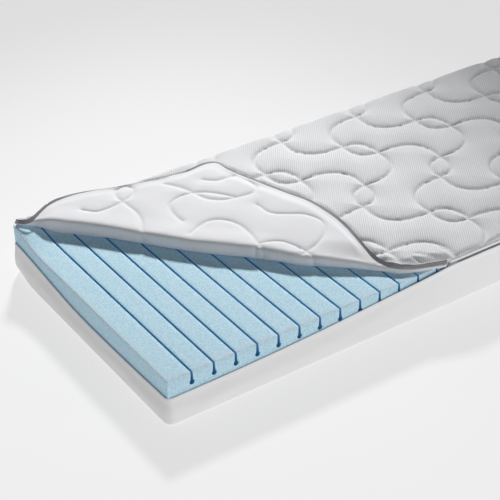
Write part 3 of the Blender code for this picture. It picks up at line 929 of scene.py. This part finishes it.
# Quilting lines as they lie on the turned-back corner, where the cloth is gathered
FLAP_SEAMS = (
    ((-0.791, 0.374), (-0.762, 0.341), (-0.717, 0.337), (-0.670, 0.346), (-0.624, 0.366), (-0.604, 0.396)),
    ((-0.604, 0.396), (-0.613, 0.422), (-0.650, 0.419), (-0.670, 0.378), (-0.668, 0.326), (-0.667, 0.261),
     (-0.684, 0.204), (-0.733, 0.119)),
    ((-0.512, 0.359), (-0.486, 0.313), (-0.470, 0.264)),
    ((-0.470, 0.264), (-0.521, 0.268), (-0.565, 0.243), (-0.582, 0.192), (-0.583, 0.144)),
    ((-0.470, 0.264), (-0.437, 0.243), (-0.404, 0.205), (-0.380, 0.165)),
    ((-0.470, 0.264), (-0.456, 0.213), (-0.422, 0.178), (-0.367, 0.163), (-0.322, 0.159), (-0.292, 0.188),
     (-0.289, 0.236)),
    ((-0.406, 0.310), (-0.373, 0.282), (-0.334, 0.280), (-0.302, 0.283)),
    ((-0.602, 0.069), (-0.552, 0.094), (-0.509, 0.097), (-0.476, 0.072), (-0.458, 0.025), (-0.460, -0.041),
     (-0.478, -0.107)),
    ((-0.459, -0.029), (-0.470, -0.087), (-0.482, -0.143)),
    ((-0.500, -0.110), (-0.459, -0.095), (-0.414, -0.115), (-0.390, -0.165), (-0.381, -0.216),
     (-0.387, -0.263)),
    ((-0.397, -0.205), (-0.329, -0.183), (-0.278, -0.147), (-0.252, -0.092), (-0.270, -0.037),
     (-0.311, -0.003), (-0.347, 0.033), (-0.352, 0.094)),
)


def flap_seam_distance(xy):
    """Distance from each plan point to the nearest quilting line of the turned-back corner."""
    tree = point_tree(np.vstack([curve_through(line, SEAM_STEP) for line in FLAP_SEAMS]))
    return np.array([tree.find((x, y, 0))[2] for x, y in xy])


# A pillow rises steeply within SEAM_SHARP of a seam and slowly over PILLOW_WIDE; the stitches pucker it
SEAM_SHARP = 0.0065
PILLOW_WIDE = 0.036
THREAD_HALF = 0.0004
STITCH = 0.013
PUCKER = 0.00035


def pillow(xy, height):
    """Height of the quilted surface above its seams, with small puckers beside the stitches."""
    away, run = seam_distance(xy)
    away = np.maximum(away - THREAD_HALF, 0)
    rise = 0.42 * (1 - np.exp(-away / SEAM_SHARP)) + 0.58 * (1 - np.exp(-away / PILLOW_WIDE))
    beside = np.exp(-away / 0.012) * (1 - np.exp(-away / 0.003))
    return height * (rise / 0.97) + PUCKER * beside * np.sin(run * 2 * math.pi / STITCH)


def mirrored(xy):
    """A plan point on the flap, as it lies when the flap is turned back over the corner."""
    along, out = fold_frame(xy)
    return from_fold(along, -out)


# ---------------------------------------------------------------- turned-back flap, in plan

# The flap's zipped edge: from the back corner along the short edge, round the tip, down to the slider
FLAP_EDGE = (
    (-0.982, 0.435, 0.1765), (-0.968, 0.416, 0.1765), (-0.951, 0.408, 0.1765), (-0.930, 0.414, 0.1765),
    (-0.897, 0.435, 0.1765), (-0.866, 0.453, 0.1765), (-0.834, 0.464, 0.1765), (-0.804, 0.467, 0.1765),
    (-0.764, 0.466, 0.1765), (-0.702, 0.452, 0.1765), (-0.590, 0.421, 0.1765), (-0.507, 0.396, 0.1765),
    (-0.464, 0.390, 0.1765), (-0.414, 0.382, 0.1765), (-0.362, 0.389, 0.1765), (-0.329, 0.385, 0.1765),
    (-0.313, 0.368, 0.1765), (-0.311, 0.332, 0.1765), (-0.298, 0.287, 0.1735), (-0.285, 0.245, 0.1730),
    (-0.258, 0.158, 0.1720), (-0.236, 0.090, 0.1720), (-0.214, 0.020, 0.1720), (-0.207, -0.083, 0.1720),
    (-0.210, -0.152, 0.1690), (-0.221, -0.214, 0.1675), (-0.234, -0.279, 0.1650), (-0.238, -0.316, 0.1630),
    (-0.234, -0.347, 0.1590), (-0.222, -0.377, 0.1550), (-0.203, -0.398, 0.1520), (-0.178, -0.411, 0.1495),
    (-0.150, -0.422, 0.1480), (-0.122, -0.431, 0.1470), (-0.094, -0.441, 0.1465), (-0.073, -0.447, 0.1465),
)
# Where the fold and the zipped edge meet at the slider
FOLD_STOP = 1.263
# Along the fold: past FREE the quilt's loose front corner is drawn back behind the zip that leads to the
# slider
FLAP_FREE = 1.09
# Past this place along the fold nothing lies under the flap, and this far from its edge the quilt is clear
FLAP_REGION = 1.30
CLEAR_OF_FLAP = 0.035
# How far the fold's nose stands in front of the fold axis, and how high it is, along the fold
NOSE_OUT = (
    (0.0, 0.024), (0.03, 0.012), (0.055, 0.004), (0.09, 0.004), (0.16, 0.001), (0.27, 0.005), (0.38, 0.016),
    (0.56, 0.031), (0.69, 0.029), (0.80, 0.034), (0.86, 0.040), (0.96, 0.028), (1.04, 0.020), (1.09, 0.018),
    (1.14, 0.015), (1.168, 0.006), (1.194, -0.006), (1.22, -0.021), (1.265, -0.046),
)
NOSE_HEIGHT = (
    (0.0, 0.008), (0.04, 0.014), (0.07, 0.028), (0.11, 0.041), (0.20, 0.045), (0.40, 0.045), (0.65, 0.046),
    (0.80, 0.043), (0.90, 0.038), (1.00, 0.028), (1.06, 0.021), (1.112, 0.016), (1.15, 0.012),
    (1.20, 0.009), (1.265, 0.0075),
)


def along_table(table, at):
    """A listed profile along the fold, read as a smooth curve."""
    smooth_points = curve_through(table, 0.004)
    return np.interp(at, smooth_points[:, 0], smooth_points[:, 1])


EDGE = curve_through(FLAP_EDGE, 0.004)
EDGE_ALONG, EDGE_OUT = fold_frame(EDGE[:, :2])


def along_edge(values, at):
    """A value known at each point of the flap's zipped edge, read at places along the fold."""
    order = np.argsort(EDGE_ALONG)
    keep = np.concatenate(([True], np.diff(EDGE_ALONG[order]) > 1e-5))
    return np.interp(at, EDGE_ALONG[order][keep], values[order][keep])


def flap_depth(at):
    """How far the flap's edge lies behind the fold axis, for each place along the fold."""
    return along_edge(-EDGE_OUT, at)


def flap_edge_height(at):
    """Height of the flap's zipped edge, for each place along the fold."""
    return along_edge(EDGE[:, 2], at)


def outside_flap(xy):
    """0 under the flap and 1 well clear of it."""
    along, out = fold_frame(xy)
    gap = (-out - flap_depth(along)) / CLEAR_OF_FLAP
    return smooth(np.where((along < 0.0) | (along > FLAP_REGION), 2.0, gap))


# ---------------------------------------------------------------- quilted top on the mattress

QUILT_LOW = float(corners("top_backing")[0][2])
# Height of the quilt's sewn edge, how far its seams lie above that, and what gathers and waves leave of
# its pillows at least
QUILT_SEAM_Z = 0.1570
SEAM_RISE = 0.0012
SEAM_LEAST = 0.0003
QUILT_SWAY = ((0.0011, 0.21, 3), (0.0005, 0.07, 4))
PILLOW_HEIGHT = 0.0135
FLAP_PILLOW_HEIGHT = 0.0065
# Where the flap lies on the quilt, the quilt is pressed to this level and keeps a share of its pillows
UNDER_FLAP_TOP = 0.1596
PRESSED_SHARE = 0.35
# The flap's quilt: how far it lies above that level, how much higher its seams lie, the width over which
# its edge rounds off, how much thinner it gets there and at the fold, and its least thickness
FLAP_QUILT_GAP = 0.0014
FLAP_SEAM_RISE = 0.0075
FLAP_QUILT_ROUND = 0.02
FLAP_QUILT_THINNER = 0.006
FLAP_QUILT_LEAST = 0.0015
# The quilt stops at the crease: how far behind the fold line, and how wide and deep the dip next to it is
CREASE_GAP = 0.004
CREASE_FADE = 0.02
CREASE_DIP = 0.006
CORNER_TUCK = 0.004
EDGE_ROUND = 0.016
# The side of the quilt is tucked in below its edge, and a little more at its foot. Outwards is away from
# the nearest point of a box with these half sizes
WALL_TUCK = 0.0035
WALL_TAPER = 0.0015
WELL_INSIDE = (0.9, 0.35)
QUILT_STEP = 0.0052
QUILT_COLUMNS = 340
# Distances from the sewn edge at which the rounded edge gets its points
EDGE_POINTS = (0.0, 0.0004, 0.0014, 0.0032, 0.0058, 0.0092)


def distance_inside(xy):
    """Distance inwards from the top's edge, a rounded rectangle in plan."""
    q = np.abs(xy) - (HALF_X - CORNER_RADIUS, HALF_Y - CORNER_RADIUS)
    outside = np.linalg.norm(np.maximum(q, 0), axis=-1)
    inside = np.minimum(np.max(q, axis=-1), 0)
    return CORNER_RADIUS - outside - inside


def eased_steps(start, stop, spacing):
    """Values from start to stop, closer together near the two ends."""
    count = int((stop - start) / spacing)
    even = np.linspace(start + EDGE_POINTS[-1], stop - EDGE_POINTS[-1], count)
    near = np.array(EDGE_POINTS[:-1])
    return np.concatenate((start + near, even, stop - near[::-1]))


def quilt_grid():
    """Plan points of the quilted top: rows from front to back, each from the crease to the head end."""
    ys = eased_steps(-HALF_Y, HALF_Y, QUILT_STEP)
    share = np.linspace(0, 1, QUILT_COLUMNS)
    over = np.maximum(np.abs(ys) - (HALF_Y - CORNER_RADIUS), 0)
    stops = HALF_X - CORNER_RADIUS + np.sqrt(np.maximum(CORNER_RADIUS**2 - over**2, 0))
    rows = []
    for y, stop in zip(ys, stops):
        start = FOLD_START[0] + (-CREASE_GAP - (y - FOLD_START[1]) * OUT[1]) / OUT[0]
        inner = start + (stop - EDGE_POINTS[-1] - start) * share
        xs = np.concatenate((inner, stop - np.array(EDGE_POINTS[:-1])[::-1]))
        rows.append(np.column_stack((xs, np.full(len(xs), y))))
    return np.array(rows)


# Gathers where the quilt is held at the slider: start, end, depth and width, in plan
GATHERS = (
    ((-0.149, -0.398), (-0.128, -0.452), 0.0070, 0.0050),
    ((-0.215, -0.352), (-0.150, -0.418), 0.0035, 0.0090),
    ((-0.075, -0.452), (-0.130, -0.385), 0.0030, 0.0080),
    ((-0.045, -0.455), (-0.052, -0.400), 0.0040, 0.0060),
)


def gather_depth(xy):
    """How far the gathers near the slider sink the quilt."""
    depth = np.zeros(len(xy))
    for start, end, deep, wide in GATHERS:
        start = np.array(start)
        run = np.array(end) - start
        share = np.clip((xy - start) @ run / (run @ run), 0, 1)
        away = np.linalg.norm(xy - start - np.multiply.outer(share, run), axis=1)
        depth += deep * np.exp(-((away / wide) ** 2))
    return depth


def behind_zip(xy):
    """Draws the quilt's loose front corner back behind the zip that leads to the slider."""
    along, out = fold_frame(xy)
    limit = -flap_depth(along) - 0.0035 + 0.06 * smooth((along - 1.262) / 0.02)
    limit = np.where(along < FLAP_FREE, 0.05, limit)
    behind = (limit - out) / CORNER_TUCK
    kept = CORNER_TUCK * np.where(behind > 20, behind, np.log1p(np.exp(np.minimum(behind, 20))))
    near = (along > FLAP_FREE)[:, None]
    return np.where(near, from_fold(along, limit - kept), xy)


def quilt_surface(xy):
    """Height of the quilt's face at plan points."""
    rise = pillow(xy, PILLOW_HEIGHT)
    puffed_up = np.maximum(rise + sway(xy, QUILT_SWAY) - gather_depth(xy), SEAM_LEAST)
    free = QUILT_SEAM_Z + SEAM_RISE + puffed_up
    pressed = UNDER_FLAP_TOP - PRESSED_SHARE * (PILLOW_HEIGHT - np.minimum(rise, PILLOW_HEIGHT)) - SEAM_RISE
    top = pressed + (free - pressed) * outside_flap(xy)
    along, out = fold_frame(xy)
    near_crease = 1 - smooth((-out - CREASE_GAP) / CREASE_FADE)
    top -= CREASE_DIP * near_crease * smooth((1.12 - along) / 0.05)
    round_off = rounded(distance_inside(xy) / EDGE_ROUND)
    return QUILT_SEAM_Z + (top - QUILT_SEAM_Z) * round_off + quilt_lift(xy)


def quilt_wall(ring):
    """Two rings of points below the quilt's edge: tucked in under it, and at the quilt's underside."""
    outwards = ring[:, :2] - np.clip(ring[:, :2], (-WELL_INSIDE[0], -WELL_INSIDE[1]), WELL_INSIDE)
    outwards /= np.maximum(np.linalg.norm(outwards, axis=1)[:, None], 1e-9)
    tucked = ring.copy()
    tucked[:, :2] -= outwards * WALL_TUCK
    tucked[:, 2] -= 0.0010
    foot = tucked.copy()
    foot[:, :2] -= outwards * WALL_TAPER
    foot[:, 2] = QUILT_LOW + lift(foot[:, :2])
    return tucked, foot


def add_top_quilt():
    """The padded, quilted top of the cover, up to the fold."""
    grid = quilt_grid()
    rows, columns = grid.shape[:2]
    xy = grid.reshape(-1, 2)
    top = np.column_stack((behind_zip(xy), quilt_surface(xy)))
    faces = grid_faces(rows, columns)
    loop = rim_loop(rows, columns)
    points = np.vstack((top, *quilt_wall(top[loop])))
    tucked = np.arange(len(top), len(top) + len(loop))
    foot = tucked + len(loop)
    faces += ring_faces(loop, tucked)
    faces += ring_faces(tucked, foot)
    faces.append(foot)
    quilt = outward(add_mesh("quilted_top", points, faces, knit_material("ribbed_knit"), 60))
    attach(quilt, "mattress")
    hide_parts("top_face_fabric", "top_wadding", "top_backing")


# The binding's cross-section: distance inside the cover's outline, and height
BINDING_SECTION = (
    (0.0004, 0.1442), (-0.0012, 0.1450), (-0.0030, 0.1470), (-0.0038, 0.1500), (-0.0034, 0.1532),
    (-0.0018, 0.1558), (0.0006, 0.1568), (0.0022, 0.1566), (0.0040, 0.1555), (0.0040, 0.1455),
    (0.0022, 0.1440),
)


def sewn_edge():
    """Stations of the top's sewn edge: front from the slider, head end, then back to the fold."""
    points, normals = stations_from(SLIDER_X, -HALF_Y)
    back = (points[:, 1] > HALF_Y - CORNER_RADIUS * 0.5) & (points[:, 0] < FOLD_START[0] + 0.045)
    stop = int(np.argmax(back))
    return points[:stop], normals[:stop]


def add_top_binding():
    """White woven strip between the quilt and the zip, slightly rolled."""
    points, normals = sewn_edge()
    lines = []
    for inset, height in BINDING_SECTION:
        level = np.full(len(points), height) + quilt_lift(points)
        lines.append(np.column_stack((points - inset * normals, level)))
    binding = swept("edge_binding", np.array(lines).transpose(1, 0, 2), binding_material(), 70)
    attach(binding, "mattress")
    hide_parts("top_binding")


# ---------------------------------------------------------------- turned-back flap

LINING_SKIN = 0.0012
LINING_SWAY = ((0.0016, 0.16, 5), (0.0006, 0.06, 6))
# The lining's least height above the foam
LINING_ABOVE_FOAM = 0.004
# The lining's seams: depth, widths of the groove and of the hollow round it, and their fade at the zip
LINING_PUFF = 0.0075
GROOVE = 0.0045
HOLLOW = 0.026
PUFF_FADE = 0.018
# Small creases along the fold's nose: height and length
CRUMPLE = 0.0012
CRUMPLE_LENGTH = 0.045
# How far the strip reaches under the fold
STRIP_REACH = 0.045
LINING_ROWS = 306
NOSE_STEPS = 16
TOP_STEPS = 92
STRIP_STEPS = 8
# Columns of each row: the strip under the fold, the fold's nose, then the top as far as the zip
NOSE_COLUMNS = slice(STRIP_STEPS, STRIP_STEPS + NOSE_STEPS + 1)
TOP_COLUMNS = slice(STRIP_STEPS + NOSE_STEPS + 1, None)
NOSE_ANGLES = np.radians(np.linspace(-90, 90, NOSE_STEPS + 1))
# The top slopes down to the zip over this width, and the nose runs into the top over this one
ZIP_SLOPE = 0.055
NOSE_FADE = 0.075


def lining_height(xy, at, share):
    """Height of the flap's upper side: gently swaying, and lower at the zip."""
    inner = FLAP_TOP - LINING_SKIN + sway(xy, LINING_SWAY)
    edge = flap_edge_height(at)
    depth = np.maximum(flap_depth(at), 0.001)
    from_edge = (1 - share) * (depth + along_table(NOSE_OUT, at))
    return edge + (inner - edge) * smooth(np.clip(from_edge / ZIP_SLOPE, 0, 1))


def boxed(values, power):
    """A circle's sine or cosine pushed towards a squarer turn, for a fold with a soft ridge."""
    return np.sign(values) * np.abs(values) ** power


def box_power(at):
    """The fold has a ridge towards the back and is rounder towards the slider."""
    return 0.72 + 0.28 * float(smooth((at - 0.62) / 0.25))


def puffed(sections, from_zip):
    """Sinks the flap's quilting lines into its surface, less near the zip and not below the fold."""
    down = np.gradient(sections, axis=0)
    over = np.gradient(sections, axis=1)
    normals = np.cross(over, down)
    normals /= np.maximum(np.linalg.norm(normals, axis=2)[:, :, None], 1e-12)
    normals *= np.sign(normals[:, -TOP_STEPS // 2, 2].mean())
    away = flap_seam_distance(sections[:, :, :2].reshape(-1, 2)).reshape(sections.shape[:2])
    sunk = 0.55 * np.exp(-away / GROOVE) + 0.45 * np.exp(-away / HOLLOW)
    sunk *= LINING_PUFF * smooth(from_zip / PUFF_FADE)
    sunk[:, :STRIP_STEPS + 4] = 0
    return sections - normals * sunk[:, :, None]


def lining_outs(at, out, high, deep):
    """One row's distances in front of the fold axis: strip, nose and top."""
    reach = max(out + deep, 0.006)
    radius = min(high / 2, max(reach * 0.6, 0.002))
    centre = out - radius
    strip_start = min(centre, 0) - min(STRIP_REACH, max(reach, 0.004))
    strip = np.linspace(strip_start, centre, STRIP_STEPS + 1)
    nose = centre + radius * boxed(np.cos(NOSE_ANGLES), box_power(at))
    top = centre - (reach - radius) * np.linspace(0, 1, TOP_STEPS + 1)
    return np.concatenate((strip[:-1], nose, top[1:]))


def lining_row_heights(at, outs, out, high, foam, top):
    """One row's heights: on the foam, up round the nose, then over into the flap's top."""
    z = np.zeros(len(outs))
    nose_foot = foam[STRIP_STEPS + NOSE_STEPS // 2]
    z[:STRIP_STEPS] = foam[:STRIP_STEPS]
    z[NOSE_COLUMNS] = nose_foot + high * ((1 + boxed(np.sin(NOSE_ANGLES), box_power(at))) / 2)
    blend = smooth(np.abs(outs[TOP_COLUMNS] - (out - high / 2)) / NOSE_FADE)
    z[TOP_COLUMNS] = (nose_foot + high) * (1 - blend) + top[TOP_COLUMNS] * blend
    z[TOP_COLUMNS] = np.maximum(z[TOP_COLUMNS], foam[TOP_COLUMNS] + LINING_ABOVE_FOAM)
    return z


def lining_sections():
    """Rows across the fold: the strip under it, round its nose, then over the flap to the zip."""
    ats = np.linspace(0.002, FOLD_STOP, LINING_ROWS)
    nose = along_table(NOSE_OUT, ats)
    tall = along_table(NOSE_HEIGHT, ats)
    depth = flap_depth(ats)
    outs = np.array([lining_outs(*row) for row in zip(ats, nose, tall, depth)])
    shape = outs.shape
    plan = np.array([from_fold(np.full(shape[1], at), row) for at, row in zip(ats, outs)])
    xy = plan.reshape(-1, 2)
    width = np.repeat(nose + depth, shape[1])
    out_all = fold_frame(xy)[1]
    share = np.clip((np.repeat(nose, shape[1]) - out_all) / np.maximum(width, 1e-4), 0, 1)
    top = lining_height(xy, np.repeat(ats, shape[1]), share).reshape(shape)
    foam = (FOAM_TOP + TOUCH_GAP + lift(xy)).reshape(shape)
    outs = out_all.reshape(shape)
    z = np.array([lining_row_heights(*row) for row in zip(ats, outs, nose, tall, foam, top)])
    crumple = CRUMPLE * waves(np.column_stack((xy, z.reshape(-1))), CRUMPLE_LENGTH, 7).reshape(shape)
    from_nose = (np.arange(shape[1]) - STRIP_STEPS - NOSE_STEPS * 0.7) / 9.0
    z += crumple * np.exp(-(from_nose**2))[None, :]
    return puffed(np.dstack((plan, z)), ((1 - share) * width).reshape(shape))


def apply_modifiers(piece):
    """Turns a piece's modifiers into its mesh."""
    bpy.context.view_layer.update()
    graph = bpy.context.evaluated_depsgraph_get()
    mesh = bpy.data.meshes.new_from_object(piece.evaluated_get(graph))
    piece.modifiers.clear()
    piece.data = mesh


def add_flap_lining(sections):
    """The smooth backing of the turned-back corner, one cloth from under the fold to the zip."""
    rows, columns = sections.shape[:2]
    points = sections.reshape(-1, 3)
    light = linear(224, 225, 228)
    dark = linear(232, 232, 235)
    finish = jersey_material("white_backing", light, dark, tilt=math.radians(48))
    lining = add_mesh("flap_lining", points, grid_faces(rows, columns), finish, 60)
    thick = lining.modifiers.new("thickness", "SOLIDIFY")
    thick.thickness = LINING_SKIN
    thick.offset = -1.0
    apply_modifiers(lining)
    outward(lining)
    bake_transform(lining)
    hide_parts("flap_backing", "fold_backing", "fold_wadding")


def turn_with_flap(piece):
    """Bakes the piece's placement into its mesh."""
    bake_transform(piece)


def flap_quilt_levels(xy, along, out, lining):
    """Heights of the flap quilt's upper side, under the lining, and of its pillowed lower side."""
    upper = lining - LINING_SKIN - TOUCH_GAP
    rise = pillow(mirrored(xy), FLAP_PILLOW_HEIGHT)
    round_off = rounded((out + flap_depth(along)) / FLAP_QUILT_ROUND)
    fold_off = smooth((-out - CREASE_GAP) / CREASE_FADE)
    thinner = (1 - round_off * (0.4 + 0.6 * fold_off)) * FLAP_QUILT_THINNER
    lower = UNDER_FLAP_TOP + FLAP_QUILT_GAP + FLAP_SEAM_RISE - rise + thinner
    lower = np.maximum(lower + lift(xy), quilt_surface(xy) + TOUCH_GAP)
    return upper, np.minimum(lower, upper - FLAP_QUILT_LEAST)


def add_flap_quilt(sections):
    """The flap's padded face, lying face down, with its pillows pointing down."""
    top = sections[:, STRIP_STEPS + NOSE_STEPS + 1:-1]
    rows, columns = top.shape[:2]
    along, out = fold_frame(top[:, :, :2].reshape(-1, 2))
    # Points in front of the crease are drawn back to it, a little apart so that none coincide
    out = np.minimum(out, 0.01 * (out + CREASE_GAP) - CREASE_GAP)
    xy = from_fold(along, out)
    upper, lower = flap_quilt_levels(xy, along, out, top[:, :, 2].reshape(-1))
    points = np.vstack((np.column_stack((xy, upper)), np.column_stack((xy, lower))))
    count = len(xy)
    faces = grid_faces(rows, columns)
    faces += [tuple(i + count for i in face)[::-1] for face in grid_faces(rows, columns)]
    loop = rim_loop(rows, columns)
    faces += ring_faces(loop, loop + count)
    quilt = outward(add_mesh("flap_quilt", points, faces, knit_material("flap_ribbed_knit"), 60))
    turn_with_flap(quilt)
    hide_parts("flap_face_fabric", "flap_wadding")


# ---------------------------------------------------------------- zip

TAPE_WIDTH = 0.0123
TAPE_SKIN = 0.0009
TAPE_TUCK = 0.009
ZIP_INSET = 0.0045
TEETH_INSET = 0.0031
# The gap between the two closed tapes is twice this
TAPE_GAP = 0.0006
# On the flap: the width of tape and of binding that lies on the cloth, and the binding's other sizes
TAPE_SEWN = 0.003
FLAP_BINDING_SEWN = 0.004
FLAP_BINDING_SHOWN = 0.0075
FLAP_BINDING_SKIN = 0.0016
FLAP_BINDING_DROP = 0.0022
# The coil's middle: behind the tape's free edge on the flap, and in from the tape's edge on the cover
COIL_FROM_EDGE = 0.0035
COIL_OFFSET = 0.0010
# A coil turn's pitch, its half sizes along, across and out of the tape, and its cross-section
TOOTH_PITCH = 0.0026
TOOTH_SIZE = (0.0011, 0.0010, 0.0007)
TOOTH_RING = ((-1, -0.5), (-1, 0.5), (-0.4, 1), (0.4, 1), (1, 0.5), (1, -0.5), (0.4, -1), (-0.4, -1))
# How the flap's tape is tilted up, in degrees, at places along the zipped edge
TAPE_TILT = (
    (0.0, 20), (0.03, 45), (0.06, 52), (0.12, 46), (0.22, 10), (0.34, -25), (0.50, -30), (0.60, 15),
    (0.66, 10), (0.72, 5), (0.95, 8), (1.15, 14), (1.25, 30), (1.32, 52), (1.56, 60), (1.62, 70),
)


def flap_tape_directions(run):
    """Which way the flap's tape lies at each point of the zipped edge: out from the flap, and tilted."""
    flat = directions(EDGE)[:, :2]
    flat /= np.linalg.norm(flat, axis=1)[:, None]
    outwards = np.column_stack((-flat[:, 1], flat[:, 0], np.zeros(len(EDGE))))
    stations = np.array(TAPE_TILT)
    tilt = np.radians(np.interp(run, stations[:, 0] * run[-1] / stations[-1, 0], stations[:, 1]))
    up = np.array((0, 0, 1))
    return outwards * np.cos(tilt)[:, None] + up * np.sin(tilt)[:, None]


def add_tooth(points, faces, centre, tangent, side, normal):
    """One small rounded coil turn."""
    base = len(points)
    count = len(TOOTH_RING)
    along, across, tall = TOOTH_SIZE
    for end in (-1, 1):
        for a, b in TOOTH_RING:
            points.append(centre + tangent * (along * end) + side * (a * across) + normal * (b * tall))
    for k in range(count):
        after = (k + 1) % count
        faces.append((base + k, base + after, base + count + after, base + count + k))
    faces.append(tuple(base + k for k in range(count))[::-1])
    faces.append(tuple(base + count + k for k in range(count)))


def tooth_row(name, path, across, offset, finish):
    """Coil turns along a path, set off from it in the direction across."""
    spots = resampled(np.hstack((path, across)), TOOTH_PITCH)
    places = spots[:, :3]
    sides = spots[:, 3:] / np.linalg.norm(spots[:, 3:], axis=1)[:, None]
    tangents = directions(places)
    normals = np.cross(tangents, sides)
    points = []
    faces = []
    for place, side, tangent, normal in zip(places, sides, tangents, normals):
        add_tooth(points, faces, place + side * offset, tangent, side, normal)
    return outward(add_mesh(name, points, faces, finish, 30))


def add_flap_zip(tape_finish, coil_finish, binding_finish):
    """Tape, binding and coil along the flap's zipped edge."""
    run = run_at(EDGE)
    across = flap_tape_directions(run)
    band = plank(EDGE, across, TAPE_WIDTH, TAPE_SKIN, -TAPE_SEWN)
    tape = swept("flap_zip_tape_band", band, tape_finish)
    turn_with_flap(tape)
    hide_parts("flap_zip_tape")
    under = EDGE - (0, 0, FLAP_BINDING_DROP)
    strip = plank(under, across, FLAP_BINDING_SHOWN, FLAP_BINDING_SKIN, -FLAP_BINDING_SEWN)
    edge = swept("flap_edge_binding", strip, binding_finish)
    turn_with_flap(edge)
    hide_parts("flap_binding")
    teeth = tooth_row("flap_coil_teeth", EDGE, across, TAPE_WIDTH - COIL_FROM_EDGE, coil_finish)
    turn_with_flap(teeth)
    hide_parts("flap_zip_coil")


def zip_path():
    """Plan stations of the whole zip, from its stop behind the open corner round to the head end."""
    points, normals = stations_from(ZIP_START_X, HALF_Y)
    late = np.arange(len(points)) > len(points) // 2
    stop = int(np.argmax(late & (points[:, 1] > HALF_Y - 0.001) & (points[:, 0] < ZIP_END_X)))
    return points[:stop], normals[:stop]


def add_lower_zip(points, normals, tape_finish, coil_finish):
    """The tape and coil sewn to the lower cover, along the whole zip: tucked in where it is open."""
    rim = rim_height(points)
    closed = np.clip((rim - RIM_CORNER) / (RIM_SHOWN - RIM_CORNER), 0, 1) ** 8
    top = rim - TAPE_TUCK + (ZIP_Z - TAPE_GAP - RIM_SHOWN + TAPE_TUCK) * closed
    inset = ZIP_INSET + rim_lean(points, 1.0) * (1 - closed)
    place = np.column_stack((points - normals * inset[:, None], top))
    down = np.tile((0.0, 0.0, -1.0), (len(points), 1))
    lower = swept("lower_zip_tape", plank(place, down, TAPE_WIDTH, TAPE_SKIN), tape_finish)
    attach(lower, "mattress")
    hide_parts("zip_tape_lower")
    outer = np.column_stack((points - normals * (inset - ZIP_INSET + TEETH_INSET)[:, None], top))
    teeth = tooth_row("lower_coil_teeth", outer, down, COIL_OFFSET, coil_finish)
    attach(teeth, "mattress")
    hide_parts("zip_coil_lower")


def add_upper_zip(points, normals, tape_finish, coil_finish):
    """The tape and coil sewn to the top, where the zip is closed."""
    level = np.full(len(points), ZIP_Z + TAPE_GAP)
    up = np.tile((0.0, 0.0, 1.0), (len(points), 1))
    base = np.column_stack((points - normals * ZIP_INSET, level))
    upper = swept("upper_zip_tape", plank(base, up, TAPE_WIDTH, TAPE_SKIN), tape_finish)
    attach(upper, "mattress")
    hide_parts("zip_tape_upper")
    outer = np.column_stack((points - normals * TEETH_INSET, level))
    teeth = tooth_row("upper_coil_teeth", outer, up, COIL_OFFSET, coil_finish)
    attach(teeth, "mattress")
    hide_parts("zip_coil_upper")


def add_cover_zip(tape_finish, coil_finish):
    """The zip round the cover: its lower half all along, and its upper half where it is closed."""
    points, normals = zip_path()
    add_lower_zip(points, normals, tape_finish, coil_finish)
    closed = points[:, 0] > SLIDER_X
    add_upper_zip(points[closed], normals[closed], tape_finish, coil_finish)


def finish_cad_metal(finish):
    """The small CAD metal parts keep their shapes and get the satin metal."""
    for node in ("slider_body", "slider_bridge", "pull_tab", "zip_stop_foot", "zip_stop_head"):
        piece = bpy.data.objects[node]
        for material_slot in piece.material_slots:
            material_slot.material = finish


add_camera()
add_light()
add_floor()
add_foam()
add_lower_cover()
add_top_quilt()
add_top_binding()
flap_sections = lining_sections()
add_flap_lining(flap_sections)
add_flap_quilt(flap_sections)
zip_tape = tape_material()
zip_coil = coil_material()
add_flap_zip(zip_tape, zip_coil, binding_material())
add_cover_zip(zip_tape, zip_coil)
finish_cad_metal(metal_material())
